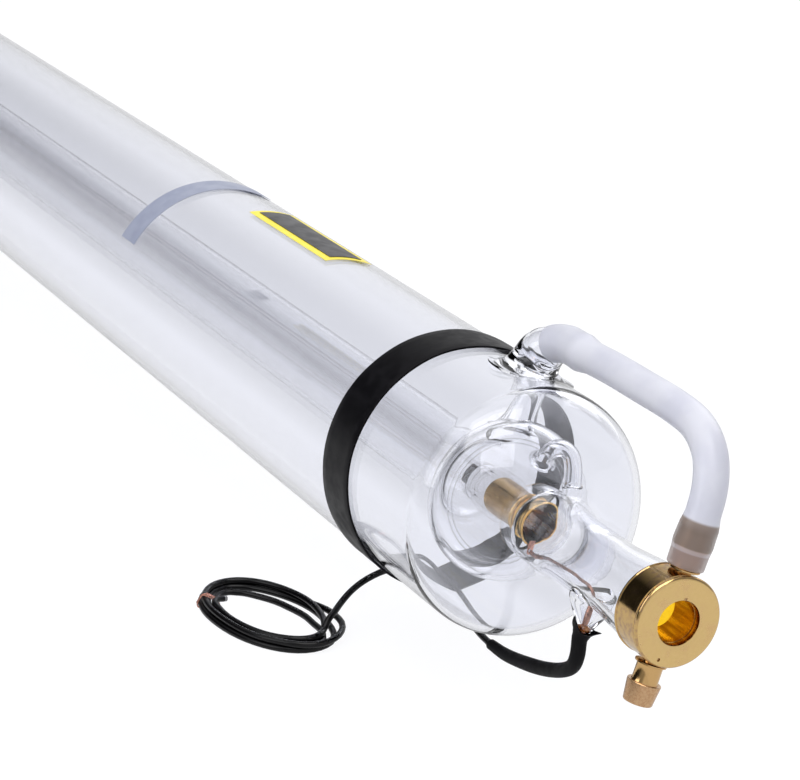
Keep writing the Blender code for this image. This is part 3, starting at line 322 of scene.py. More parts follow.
def make_finishes():
    return {
        "shell": make_glass("blown_glass_shell", (0.955, 0.962, 1.0), 0.05),
        "inner": make_glass("blown_glass_inside", (0.985, 0.987, 1.0), 0.10),
        # The chamber and discharge walls' dark colours are painted shade for their edge-on
        # lines.
        "thin": make_thin_glass_painted_edges("chamber_glass_painted_edge_shade", (0.20, 0.20, 0.24), 0.46),
        "drawn": make_thin_glass_painted_edges("discharge_glass_painted_edge_shade", (0.46, 0.36, 0.37), 0.24),
        "gold": make_gold(),
        "face": make_gold_face(),
        "bore": make_bore_finish_painted_shade(),
        "barb": make_barb_finish(),
        "bronze": make_bronze(),
        "copper": make_copper("bare_copper", (0.72, 0.36, 0.27), (0.40, 0.19, 0.15),
                              800.0, 0.24, 0.22),
        "browned": make_copper("flame_browned_copper", (0.40, 0.20, 0.14), (0.20, 0.10, 0.08),
                               700.0, 0.28, 0.2),
        "mirror": make_mirror(),
        "amber": make_amber_painted_glow(),
        "bead": make_bead_glass(),
        "silicone": make_silicone(),
        "band": make_black("matt_black_band", 0.003, 0.36, 260.0, 0.10),
        "sleeve": make_black("matt_heat_shrink", 0.0025, 0.55, 420.0, 0.12),
        "lead": make_black("lead_insulation", 0.0015, 0.22, 60.0, 0.24, 0.03),
        "cut": make_film("cut_insulation", (0.30, 0.30, 0.31), (0.16, 0.16, 0.17)),
        "yellow": make_film("yellow_film", (0.86, 0.72, 0.055), (0.80, 0.66, 0.05)),
        "dark": make_film("dark_film", (0.028, 0.028, 0.031), (0.020, 0.020, 0.023)),
        "grey": make_film("grey_film", (0.30, 0.325, 0.42), (0.26, 0.285, 0.38)),
    }


def clear_selection():
    if bpy.context.object and bpy.context.object.mode == "EDIT":
        bpy.ops.object.mode_set(mode="OBJECT")
    bpy.ops.object.select_all(action="DESELECT")


def take(piece):
    """Make one piece the only selected and active one."""
    clear_selection()
    piece.select_set(True)
    bpy.context.view_layer.objects.active = piece


def edit(piece, kind="VERT"):
    """Open one piece in edit mode, with all of it selected."""
    take(piece)
    bpy.ops.object.mode_set(mode="EDIT")
    bpy.ops.mesh.select_mode(type=kind)
    bpy.ops.mesh.select_all(action="SELECT")


def leave():
    bpy.ops.object.mode_set(mode="OBJECT")


def smooth(piece, degrees=32):
    take(piece)
    bpy.ops.object.shade_smooth_by_angle(angle=math.radians(degrees))
    return piece


def cleaned(piece):
    """Merge what meets, and point every face outwards."""
    edit(piece)
    bpy.ops.mesh.remove_doubles(threshold=MERGE)
    bpy.ops.mesh.normals_make_consistent(inside=False)
    leave()
    return piece


def settle(piece, rotation=(0, 0, 0), location=(0, 0, 0)):
    """Turn and move a piece, then put its place into its mesh."""
    take(piece)
    piece.rotation_euler = rotation
    piece.location = Vector(location) * MM
    bpy.ops.object.transform_apply(location=True, rotation=True, scale=True)
    return piece


def upright(piece, x, down=False):
    """Stand a piece that was turned along X up on the axis at x, or hang it below."""
    return settle(piece, (0, math.pi / 2 if down else -math.pi / 2, 0), (x, 0, 0))


def drawn(name, route):
    """Draw a line: one point, extruded along a route."""
    clear_selection()
    bpy.ops.mesh.primitive_plane_add(size=MM, location=(0, 0, 0))
    piece = bpy.context.object
    piece.name = piece.data.name = name
    edit(piece)
    bpy.ops.mesh.merge(type="CENTER")
    bpy.ops.transform.translate(value=[part * MM for part in route[0]])
    for start, end in zip(route, route[1:]):
        move = [(b - a) * MM for a, b in zip(start, end)]
        bpy.ops.mesh.extrude_vertices_move(TRANSFORM_OT_translate={"value": move})
    leave()
    return piece


def turned(name, outline, sides):
    """Spin a closed outline of (x, radius) round the axis."""
    piece = drawn(name, [(x, 0, radius) for x, radius in outline])
    edit(piece)
    bpy.ops.mesh.remove_doubles(threshold=MERGE)
    bpy.ops.mesh.spin(steps=sides, angle=math.tau, center=(0, 0, 0), axis=(1, 0, 0))
    leave()
    return cleaned(piece)


def ring(name, outline, sides):
    """Turn a piece that is open along the axis."""
    return turned(name, outline + outline[:1], sides)


def solid(name, outline, sides):
    """Turn a piece that is filled down to the axis."""
    return turned(name, [(outline[0][0], 0)] + outline + [(outline[-1][0], 0)], sides)


def applied(piece, kind, **settings):
    """Give a piece a modifier, and apply it."""
    take(piece)
    step = piece.modifiers.new("step", kind)
    for key, setting in settings.items():
        setattr(step, key, setting)
    bpy.ops.object.modifier_apply(modifier="step")
    return piece


def combine(piece, other, operation):
    """Join another solid on, or cut it away, and drop the other one."""
    applied(piece, "BOOLEAN", operation=operation, solver="EXACT", object=other)
    bpy.data.objects.remove(other, do_unlink=True)


def bevelled(piece, width, degrees=30):
    return applied(piece, "BEVEL", width=width * MM, segments=2, limit_method="ANGLE",
                   angle_limit=math.radians(degrees))


def route_curve(name, points, radius=0.0, sides=3):
    """An open curve through the points, round in section where it has a radius."""
    curve = bpy.data.curves.new(name, "CURVE")
    curve.dimensions = "3D"
    curve.bevel_depth = radius * MM
    curve.bevel_resolution = sides
    curve.use_fill_caps = True
    spline = curve.splines.new("POLY")
    spline.points.add(len(points) - 1)
    for target, point in zip(spline.points, points):
        target.co = (*(point * MM), 1)
        target.radius = 1.0
    piece = bpy.data.objects.new(name, curve)
    bpy.context.scene.collection.objects.link(piece)
    return piece


def smooth_path(points, steps):
    """Points read from a smooth curve through the given ones, steps to a span."""
    ends = [points[0] * 2 - points[1]] + list(points) + [points[-1] * 2 - points[-2]]
    path = []
    for a, b, c, d in zip(ends, ends[1:], ends[2:], ends[3:]):
        for step in range(steps):
            t = step / steps
            path.append(0.5 * (2 * b + (c - a) * t + (2 * a - 5 * b + 4 * c - d) * t ** 2
                               + (3 * b - a - 3 * c + d) * t ** 3))
    return path + [points[-1].copy()]


def path_length(points):
    return sum((b - a).length for a, b in zip(points, points[1:]))


def bend_along(piece, points):
    """Bend a piece that was turned along X so that it follows a route from its start."""
    guide = route_curve("guide", points)
    guide.data.twist_mode = "MINIMUM"
    applied(piece, "CURVE", object=guide, deform_axis="POS_X")
    bpy.data.objects.remove(guide, do_unlink=True)
    return piece


def filled_in(outline, pitch):
    """Add points between those of an outline, so that a bent piece bends smoothly."""
    full = [outline[0]]
    for (place, radius), (next_place, next_radius) in zip(outline, outline[1:]):
        count = max(1, math.ceil(abs(next_place - place) / pitch))
        for step in range(1, count + 1):
            t = step / count
            full.append((place + (next_place - place) * t, radius + (next_radius - radius) * t))
    return full


def eased(outline, steps):
    """Round an outline's corners by reading a smooth curve through its points."""
    points = smooth_path([Vector((x, r, 0)) for x, r in outline], steps)
    return [(p.x, p.y) for p in points]


finishes = {}


def dressed(piece, finish, slot, *nodes):
    """Give a piece its finish and its body, and hide the model's nodes that it stands for."""
    piece.data.materials.clear()
    piece.data.materials.append(finishes[finish])
    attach(piece, "root")
    if nodes:
        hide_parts(*nodes)
    return piece


def finished(piece, degrees, finish, slot, *nodes):
    """Smooth an upright piece, roll it as the tube lies in its cradles, and dress it."""
    return dressed(settle(smooth(piece, degrees), (-ROLL, 0, 0)), finish, slot, *nodes)


LEAD_DIAMETER = 2.2
SLEEVE_ROUTE = [(-0.002, -0.207, -0.640), (0.026, -0.210, -0.755), (0.095, -0.212, -0.855),
                (0.195, -0.217, -0.945), (0.316, -0.222, -1.020), (0.437, -0.225, -1.075),
                (0.538, -0.225, -1.090)]
LEAD_ROUTE = [(0.542, -0.225, -1.090), (0.619, -0.215, -1.085), (0.719, -0.180, -1.070),
              (0.820, -0.130, -1.053), (0.907, -0.100, -1.039), (1.000, -0.100, -1.039),
              (1.093, -0.100, -1.039)]
TAIL_ROUTE = [(1.153, -0.115, 0.034), (1.203, -0.175, 0.12), (1.239, -0.305, 0.27),
              (1.247, -0.460, 0.45), (1.229, -0.615, 0.62), (1.195, -0.750, 0.78),
              (1.157, -0.865, 0.92), (1.136, -0.935, 1.0)]
COIL_CENTRE = Vector((423.6, -49.7, 0))
COIL_HALF_LENGTH = 28.5
COIL_HALF_WIDTH = 14.6
COIL_TURN = math.radians(9)
COIL_START = math.radians(15)
COIL_LIE = SURFACE_Z + LEAD_DIAMETER / 2
COIL_TURNS = 4.37
COIL_OUT = [(0.0, -2.8), (0.12, -2.2), (0.30, -2.0), (0.41, -1.5), (0.61, -5.7), (0.68, -6.2),
            (0.76, -5.6), (0.86, -4.2), (0.95, -1.9), (1.0, -0.6), (1.12, 0.1), (1.30, 0.25),
            (1.41, 0.8), (1.66, -1.0), (1.84, 0.3), (2.0, 2.2), (2.16, 2.4), (2.30, 2.5),
            (2.41, 3.05), (2.60, 1.4), (2.74, 1.6), (2.86, 3.4), (2.94, 4.5), (3.03, 4.4),
            (3.16, 2.1), (3.30, 1.3), (3.41, 1.85), (3.57, 0.25), (3.74, 0.4), (3.96, -1.5),
            (4.16, -0.9), (4.37, -0.7)]
COIL_HIGH = [(0.0, 0.5), (0.07, 0.0), (2.76, 0.0), (2.92, 2.3), (3.14, 2.3), (3.26, 2.0),
             (3.74, 2.0), (3.81, 2.25), (4.12, 2.3), (4.22, 2.0), (4.30, 2.0), (4.37, 2.3)]


def routed(route):
    """Turn (share of the way from the stem to the band, y, z) into points."""
    return [Vector((STEM_X + (BAND_X - STEM_X) * share, y * SHELL_RADIUS, z * SHELL_RADIUS))
            for share, y, z in route]


def coil_point(angle, out, height):
    """A point beside the coil's middle line: how far outside it and how high."""
    turn = Matrix.Rotation(COIL_TURN, 3, "Z")
    place = Vector((COIL_HALF_LENGTH * math.cos(angle), COIL_HALF_WIDTH * math.sin(angle), 0))
    normal = Vector((math.cos(angle) / COIL_HALF_LENGTH, math.sin(angle) / COIL_HALF_WIDTH, 0))
    point = COIL_CENTRE + turn @ (place + normal.normalized() * out)
    return Vector((point.x, point.y, COIL_LIE + height))


def table_at(rows, at):
    """Read a value between the rows of a (place, value) table."""
    for (a, first), (b, second) in zip(rows, rows[1:]):
        if at <= b:
            t = (at - a) / (b - a)
            t = t * t * (3 - 2 * t)
            return first + (second - first) * t
    return rows[-1][1]


def lead_points():
    under_band = routed(LEAD_ROUTE)
    high, low = under_band[-1].z, -53.4
    tail = routed([(share, y, 0) for share, y, drop in TAIL_ROUTE])
    for point, (share, y, drop) in zip(tail, TAIL_ROUTE):
        point.z = high + (low - high) * drop
    landing = Vector((446.3, -40.2, -56.3))
    turns, steps = [], 208
    for step in range(steps + 1):
        u = COIL_TURNS * step / steps
        turns.append(coil_point(COIL_START - math.tau * u, table_at(COIL_OUT, u),
                                table_at(COIL_HIGH, u)))
    hook = []
    for a in (math.radians(d) for d in (18, 36, 54, 72, 90)):
        swing = 1 - math.cos(a)
        hook.append(turns[-1] + Vector((-math.sin(a), swing, -0.12 * swing * swing)) * 4.6)
    return smooth_path(under_band + tail + [landing, turns[0]], 3) + turns[1:] + hook


def make_lead():
    points = lead_points()
    lead = route_curve("cathode_lead_cord", points, LEAD_DIAMETER / 2, 4)
    dressed(lead, "lead", "black_plastic", "cathode_wire", "cathode_wire_coil")
    cut = solid("lead_cut_end", [(1.1, 0.88), (1.0, 0.98), (-0.4, 1.04)], 20)
    ahead = (points[-1] - points[-2]).normalized()
    settle(cut, ahead.to_track_quat("X", "Z").to_euler(), points[-1])
    dressed(smooth(cut), "cut", "black_plastic")
    strands = make_tie()
    points[0] * MM
    round(path_length(points) * MM, 2)


def make_tie():
    """Bare strands wound tightly round the bundle."""
    bundle = [Vector((table_at(COIL_OUT, u), table_at(COIL_HIGH, u)))
              for u in (0.414, 1.414, 2.414, 3.414)]
    points, steps = [], 104
    for step in range(steps + 1):
        share = step / steps
        turn = math.tau * 3.3 * share - 2.4
        way = Vector((math.sin(turn), math.cos(turn)))
        rim = max(bundle, key=way.dot) + way * 1.36
        at = math.radians(226) - 0.12 * (share - 0.5) - 0.03 * math.sin(turn * 1.37)
        points.append(coil_point(at, rim.x, max(rim.y, -0.8)))
    tie = route_curve("tie_strands", smooth_path(points, 2), 0.21, 2)
    return dressed(tie, "copper", "copper", "wire_tie")


def arc(centre_x, depth, radius, start, end, steps):
    """Points of an ellipse's arc, as (x, radius)."""
    return [(centre_x + depth * math.cos(start + (end - start) * i / steps),
             radius * math.sin(start + (end - start) * i / steps)) for i in range(steps + 1)]


def blend_between(start, pull_start, pull_end, end, steps):
    """The points inside a curve that leaves its two ends towards their pulls."""
    points = []
    for step in range(1, steps):
        t = step / steps
        u = 1 - t
        points.append(tuple(u ** 3 * p + 3 * u * u * t * q + 3 * u * t * t * r + t ** 3 * s
                            for p, q, r, s in zip(start, pull_start, pull_end, end)))
    return points


def shell_end(face_to_neck, neck_length, inset, neck_inset):
    """One glass end as (distance from its face, radius), from the rim to the shoulder."""
    rim, waist = 12.6 - neck_inset, 10.9 - neck_inset
    points = []
    for step in range(9):
        t = step / 8
        points.append((face_to_neck + t * 26, rim + (waist - rim) * t * t * (3 - 2 * t)))
    apex = face_to_neck + neck_length
    shoulder = apex + 21
    radius, depth = SHELL_RADIUS - inset, 21 - inset
    mouth = math.asin(0.5)
    foot = (apex - 15, waist)
    landing = (shoulder - depth * math.cos(mouth), radius * math.sin(mouth))
    slope = Vector((depth * math.sin(mouth), radius * math.cos(mouth))).normalized()
    pull = 9.5
    points.append(foot)
    points += blend_between(foot, (foot[0] + pull, waist),
                            (landing[0] - pull * slope.x, landing[1] - pull * slope.y),
                            landing, 8)
    for step in range(17):
        angle = mouth + (math.pi / 2 - mouth) * step / 16
        points.append((shoulder - depth * math.cos(angle), radius * math.sin(angle)))
    return points


def shell_outline(inset, neck_inset):
    """The whole shell from its front mouth to its rear mouth, as (x, radius)."""
    front = [(FACE_X - d, r) for d, r in shell_end(12.7, 60, inset, neck_inset)]
    rear = [(d - FACE_X, r) for d, r in shell_end(14.3, 48, inset, neck_inset)]
    middle = [(x, SHELL_RADIUS - inset) for x in (
        498, 494, 490, 486, 482, 478, 474, 460, 430, 390, 350, 250, 150, 0, -150, -300, -420,
        -455, -462, -466, -470, -474, -478, -485)]
    return front + middle + rear[::-1]


def front_water_route():
    """The line that the front nipple and then the hose follow, drawn upright."""
    x, top = 486, 52.6
    barb, bend, turn, crown = 593.8, 14.5, 23, 0.5
    nipple = [(x, 38), (x + 0.3, 42.0), (x + bend * 0.17, top - bend * 0.43),
              (x + bend * 0.52, top - bend * 0.15), (x + bend, top - 0.2), (x + 20, top),
              (x + 26, top)]
    run = [(x + 26 + turn * 0.7, top + crown), (barb - turn * 2.1, top + crown),
           (barb - turn * 1.3, top + crown * 0.7), (barb - turn * 0.7, top - turn * 0.05),
           (barb - turn * 0.28, top - turn * 0.27), (barb - turn * 0.06, top - turn * 0.61),
           (barb, top - turn), (barb, BARB_FOOT + turn * 0.35), (barb, BARB_FOOT + 0.3)]
    return [[Vector((a, 0, b)) for a, b in part] for part in (nipple, run)]


def flare(start_radius, end_radius, height, steps=10):
    """A trumpet foot as (height, radius), wide and flat at first and then upright."""
    points = []
    for step in range(steps + 1):
        angle = math.pi / 2 * step / steps
        points.append((height * (1 - math.cos(angle)),
                       end_radius + (start_radius - end_radius) * (1 - math.sin(angle))))
    return points


def nipple_skin(foot_radius, neck_radius, foot_height, body, reach):
    """A water nipple: a flared foot, its body, and a ridge near the tip."""
    foot = [(0.8 + h, r) for h, r in flare(foot_radius, neck_radius, foot_height)]
    ridge = [(reach - 4, 4.5), (reach - 2.6, 5.1), (reach - 1.2, 5.1), (reach - 0.4, 4.6),
             (reach, 4.1)]
    return [(0.2, foot_radius)] + foot + body + ridge


def taper(start, tall, tip, more, steps):
    """An electrode stem's cone as (height, radius), quick at first and then slow."""
    return [(start + tall * i / steps, tip + more * (1 - (i / steps) ** 1.1) ** 1.25)
            for i in range(steps + 1)]


def make_shell():
    """The outer envelope with its nipples and electrode stems fused on."""
    shell = solid("glass_envelope", shell_outline(0, 0), 112)
    line = smooth_path(front_water_route()[0], 12)
    reach = path_length(line)
    skin = nipple_skin(14, 7.8, 4.6, [(8.5, 7.5), (11.5, 6.9), (14, 5.9), (16, 5.1),
                                      (18, 4.6)], reach)
    combine(shell, bend_along(solid("nipple", filled_in(skin, 0.9), 40), line), "UNION")
    skin = [(38 + h, r) for h, r in nipple_skin(9.6, 4.5, 6.5, [], 16)]
    combine(shell, upright(solid("rear_nipple_skin", skin, 40), REAR_NIPPLE_X, down=True),
            "UNION")
    for x in (STEM_X, REAR_STEM_X):
        stem = solid("stem_skin", [(8.5, 7.4)] + taper(10.1, 9.2, 2.3, 5.0, 12), 40)
        combine(shell, upright(stem, x, down=True), "UNION")
    inner = shell_outline(2.2, 2.4)
    (front_x, front_radius), (rear_x, rear_radius) = inner[0], inner[-1]
    inner = [(front_x + 5, front_radius)] + inner + [(rear_x - 5, rear_radius)]
    combine(shell, solid("shell_hollow", inner, 112), "DIFFERENCE")
    bore = [(-3, 4.0), (1, 4.4), (4, 6.4), (8.5, 6.7), (11.5, 6.1), (14, 5.1), (16.5, 4.1),
            (19, 3.6), (reach + 2.5, 3.3)]
    bore = bend_along(solid("nipple_bore", filled_in(bore, 0.9), 40),
                      line + [line[-1] + Vector((3, 0, 0))])
    combine(shell, bore, "DIFFERENCE")
    bore = solid("rear_bore", [(34, 3.3), (60, 3.3)], 40)
    combine(shell, upright(bore, REAR_NIPPLE_X, down=True), "DIFFERENCE")
    for x in (STEM_X, REAR_STEM_X):
        bore = solid("stem_bore", [(6, 5.8)] + taper(9.2, 7.4, 0.95, 4.6, 10) + [(16.8, 0)], 40)
        combine(shell, upright(bore, x, down=True), "DIFFERENCE")
    finished(shell, 40, "shell", "clear_glass", "outer_tube", "front_nipple", "rear_nipple",
             "cathode_stem", "anode_stem")


JACKET_REAR_X = -482
JACKET_TUBE = 12.5


def bulb_outline(inset):
    """The jacket from its front lip over the bulb to its rear end, as (x, radius)."""
    lip, radius, depth, tube = (r - inset for r in (11.3, 25.5, 20, JACKET_TUBE))
    centre = NECK_FOOT_X - 31.8
    start = math.asin(lip / radius)
    end = math.pi - math.asin(tube / radius) - math.radians(14)
    points = [(NECK_FOOT_X - 6.6, lip - 0.2), (NECK_FOOT_X - 9.0, lip)]
    points += arc(centre, depth, radius, start, end, 28)
    foot = points[-1]
    landing = (centre - depth * 1.35, tube)
    points += blend_between(foot, (foot[0] - depth * 0.16, foot[1] - depth * 0.2),
                            (landing[0] + depth * 0.25, tube), landing, 8)
    return points + [landing] + [(x, tube) for x in (
        440, 400, 300, 200, 0, -200, -400, -460, -466, -470, -474, -480, JACKET_REAR_X)]


def water_stem(name, x, down, low, foot_radius, tall, wall=0, thinner=0, past=0):
    """The stem from the jacket to a nipple: its skin, or its bore inside a wall."""
    top, wide = 37.4 + past, 4.8
    grown = foot_radius - wall
    skin = [(0, grown)] + [
        (low - wall + h * tall, wide - thinner + (grown - wide) * r)
        for h, r in flare(1, 0, 1, 14)] + [(top, wide - thinner)]
    return upright(solid(name, filled_in(skin, 2), 48), x, down=down)


def make_jacket():
    """The water jacket, drawn in at the rear round the discharge tube."""
    closing = 4.9
    outer = bulb_outline(0)
    outer += arc(JACKET_REAR_X, -12.5, 12.5, math.pi / 2, math.radians(24), 8)[1:]
    outer.append((JACKET_REAR_X - 14, closing + 1.2))
    jacket = solid("water_jacket_glass", outer, 80)
    stems = ((488, False, 20.5, 9.5, 8.5), (REAR_NIPPLE_X, True, 11.2, 8, 7))
    for stem in stems:
        combine(jacket, water_stem("water_stem", *stem), "UNION")
    inner = bulb_outline(1.5)
    inner.insert(0, (inner[0][0] + 12, inner[0][1]))
    inner += arc(JACKET_REAR_X, -11, 11, math.pi / 2, math.radians(27), 8)[1:]
    inner.append((JACKET_REAR_X - 25, closing))
    combine(jacket, solid("jacket_hollow", inner, 80), "DIFFERENCE")
    for stem in stems:
        combine(jacket, water_stem("water_bore", *stem, 1.2, 1.1, 2), "DIFFERENCE")
    finished(jacket, 40, "inner", "clear_glass", "water_jacket")


def make_chamber():
    """The inner bulb, drawn in at the front to a tube that is sealed into the neck."""
    outer, inner = [], []
    centre = NECK_FOOT_X - 30.3
    for inset, points in ((0, outer), (1.3, inner)):
        lip, tip = 10.7 - inset * 0.8, 8.2 - inset * 0.55
        radius, depth, tail = (r - inset for r in (19.7, 14.5, 6.2))
        start = math.asin(lip / radius)
        end = math.pi - math.asin(tail / radius) - math.radians(6)
        points += [(NECK_FOOT_X + 13.7, tip - 0.1), (NECK_FOOT_X + 13.0, tip),
                   (NECK_FOOT_X + 8.5, tip)]
        points += blend_between(points[-1], (NECK_FOOT_X + 4.0, tip),
                                (NECK_FOOT_X + 3.0, lip), (NECK_FOOT_X - 1.0, lip), 10)
        points += [(NECK_FOOT_X - 1.0, lip), (NECK_FOOT_X - 9.9, lip)]
        points += arc(centre, depth, radius, start, end, 28)
        points += [(centre - 14.5 * 1.12, tail), (centre - 14.5 * 1.4, tail)]
    chamber = ring("cathode_chamber_glass", outer + inner[::-1], 72)
    finished(chamber, 50, "thin", "clear_glass", "cathode_chamber")


def make_bore_tube():
    """The discharge tube, with its cup behind the cathode."""
    front, cup, tube = NECK_FOOT_X - 31.3, 7.7, 4.6
    outer = [(front, cup), (front - 9, cup)]
    outer += blend_between(outer[-1], (front - 10.5, cup), (front - 10.5, tube),
                           (front - 13, tube), 8)
    outer += [(x, tube) for x in (front - 13, 440, 300, 100, -100, -300, -494)]
    inner = [(x, r - 1.2) for x, r in outer]
    tube = ring("discharge_tube_glass", outer + inner[::-1], 40)
    finished(tube, 50, "drawn", "clear_glass", "discharge_tube")


def make_return_tube():
    """A short hooked tube on the bulb's front, its lip melted round."""
    line = smooth_path([Vector(p) for p in (
        (509.8, 4.6, 16.5), (511.6, 5.1, 19.2), (512.5, 7.2, 21.0), (512.8, 10.2, 20.7),
        (513.0, 12.6, 18.2), (513.2, 13.4, 14.6), (513.8, 13.0, 10.8),
        (515.2, 12.0, 7.8))], 8)
    reach = path_length(line)
    outer = filled_in([(0, 4.4), (0.8, 3.4), (2, 2.6), (reach - 1.6, 2.6),
                       (reach - 0.9, 2.95), (reach - 0.3, 2.9), (reach, 2.5)], 0.5)
    inner = filled_in([(reach, 2.0), (reach - 0.6, 1.7), (1.5, 1.7), (0, 2.8)], 0.5)
    tube = bend_along(ring("return_tube_glass", outer + inner, 32), line)
    dressed(smooth(tube, 40), "inner", "clear_glass", "gas_return_tube")


def make_cathode():
    front = NECK_FOOT_X - 7.3
    rear, collar = front - 27.5, NECK_FOOT_X - 14.3
    sleeve = ring("cathode_sleeve", [
        (rear, 5.3), (rear, 6.0), (collar - 2, 6.0), (collar - 2, 6.9), (collar - 1.2, 6.9),
        (collar - 1.0, 6.7), (collar - 0.8, 6.9), (collar, 6.9), (collar, 6.4),
        (front - 1.5, 6.4), (front - 1.5, 6.9), (front, 6.9), (front, 6.35),
        (front - 5, 6.2), (front - 9, 5.0), (rear + 2, 5.0), (rear + 2, 5.3)], 72)
    bevelled(sleeve, 0.12)
    finished(sleeve, 40, "bronze", "bronze", "cathode_cylinder")
    # The sleeve's inside faces take the darker bore brown, a painted shade.
    sleeve.data.materials.append(finishes["bore"])
    for polygon in sleeve.data.polygons:
        if polygon.normal.dot(Vector((0, polygon.center.y, polygon.center.z))) < 0:
            polygon.material_index = 1


def make_tab():
    """A thin strip with rounded lower corners and a punched eye for the lead."""
    clear_selection()
    x = NECK_FOOT_X - 6.8
    bpy.ops.mesh.primitive_cube_add(size=1, location=(x * MM, 0, -7.2 * MM),
                                    scale=(0.4 * MM, 2.6 * MM, 3.8 * MM))
    tab = bpy.context.object
    tab.name = "cathode_tab_strip"
    bpy.ops.object.transform_apply()
    edit(tab, "EDGE")
    bpy.ops.mesh.select_all(action="DESELECT")
    leave()
    for edge in tab.data.edges:
        a, b = (tab.data.vertices[i].co for i in edge.vertices)
        edge.select = abs(a.x - b.x) > 0.2 * MM and a.z < -8 * MM
    bpy.ops.object.mode_set(mode="EDIT")
    bpy.ops.mesh.bevel(offset=0.8 * MM, segments=4)
    leave()
    eye = solid("eye", [(x - 2, 0.55), (x + 2, 0.55)], 20)
    combine(tab, settle(eye, location=(0, 0, -8.1)), "DIFFERENCE")
    finished(bevelled(tab, 0.06), 40, "copper", "copper", "cathode_tab")


def make_inner_lead(name, node, x, side, start):
    """Copper wire along the bottom of a neck, down to the top of its pin."""
    run = -6.9
    route = [start, (start[0] + side * 4, 0, start[2]), (x - side * 15, 0, run),
             (x - side * 8, 0, run), (x - side * 3, 0, run), (x - side * 0.6, 0, run - 1.2),
             (x, 0, run - 2.6), (x, 0, -12)]
    take(route_curve(name, smooth_path([Vector(p) for p in route], 5), 0.55, 3))
    bpy.ops.object.convert(target="MESH")
    finished(bpy.context.object, 40, "browned", "copper", node)


def make_pin(name, node, x):
    """The pin in its stem, with its sealing bead."""
    pin = solid(name, [(12.0, 0.85), (12.3, 1.0), (15.0, 1.0), (16.6, 0.8), (21.3, 0.8),
                       (21.5, 0.6)], 20)
    finished(upright(pin, x, down=True), 40, "browned", "copper", node)
    bead = ring(name + "_bead", eased([(16.8, 0.85), (17.1, 1.3), (17.9, 1.5), (18.7, 1.3),
                                       (19.0, 0.85)], 4), 28)
    finished(upright(bead, x, down=True), 60, "bead", "copper")


def make_anode():
    rear, front = -530, -514
    sleeve = ring("anode_sleeve", [
        (rear, 5.8), (rear, 7.2), (rear + 0.7, 7.2), (rear + 0.7, 6.5), (front - 1.2, 6.5),
        (front - 1.2, 6.8), (front, 6.8), (front, 5.8)], 72)
    finished(bevelled(sleeve, 0.12), 40, "bronze", "bronze", "anode_cylinder")


HEAD_BACK = FACE_X - 12.4


def make_head():
    """The output head: turned, with a rounded shoulder and a notch over the aperture."""
    back, face = HEAD_BACK, FACE_X
    outline = [(back, 10.9), (back, 13.35), (back + 0.3, 13.7), (back + 0.65, 13.7),
               (back + 0.9, 13.45), (face - 2.3, 13.45), (face - 2.15, 13.2),
               (face - 1.8, 13.2), (face - 1.65, 13.5)]
    outline += [(face - (1.2 - 1.2 * math.sin(a)), 13.7 - 1.2 * (1 - math.cos(a)))
                for a in (math.radians(d) for d in range(0, 91, 10))]
    outline += [(face, 7.1), (face - 0.12, 6.8), (face - 0.4, 6.65), (face - 2.1, 6.65),
                (face - 2.2, 6.9), (face - 2.6, 6.9), (face - 2.7, 6.65), (face - 4.0, 6.5),
                (back + 0.3, 5.8), (back + 0.3, 10.9)]
    head = ring("output_head_turned", outline, 128)
    notch = upright(solid("notch", [(6.0, 0.5), (7.6, 0.5)], 24), face + 0.1)
    combine(head, settle(notch, (math.radians(4), 0, 0)), "DIFFERENCE")
    pit = solid("pit", [(0, 0.4), (0.6, 0.6)], 16)
    combine(head, settle(pit, location=(face - 0.45, -2.5, -11.35)), "DIFFERENCE")
    finished(head, 35, "gold", "gilt_metal", "output_head")
    head.data.materials.append(finishes["face"])
    # The faces round the aperture take the darker bore brown, a painted shade inside the bore.
    head.data.materials.append(finishes["bore"])
    for polygon in head.data.polygons:
        x, reach = polygon.center.x, math.hypot(polygon.center.y, polygon.center.z)
        if x > (face - 0.3) * MM and polygon.normal.x > 0.9:
            polygon.material_index = 1
        elif reach < 7 * MM and x < (face - 0.1) * MM:
            polygon.material_index = 2


def make_lens():
    back = HEAD_BACK
    lens = solid("output_lens_disc", [
        (back - 1.4, 9.8), (back - 1.2, 10.0), (back - 0.2, 10.0), (back, 9.8),
        (back - 0.2, 5.7), (back - 0.4, 0)], 96)
    finished(lens, 40, "amber", "lens_glass", "output_lens")


def make_barbs():
    """Hose barbs: a base ring, a shank, and a ridged cone with a bored tip."""
    outline = [(12.0, 1.9), (12.0, 2.5), (14.0, 2.5), (14.0, 4.5), (14.1, 4.7), (14.5, 4.7),
               (14.6, 4.5), (14.6, 4.0), (15.3, 3.85), (19.3, 3.85), (20.0, 4.0), (20.0, 4.9),
               (20.15, 5.0), (20.6, 5.0), (26.1, 4.35), (26.3, 4.2), (26.3, 2.1), (26.1, 1.9)]
    for node, down in (("upper_barb", False), ("lower_barb", True)):
        barb = upright(ring(node + "_turned", outline, 64), FACE_X - 6.2, down=down)
        finished(barb, 30, "barb", "gilt_metal", node)


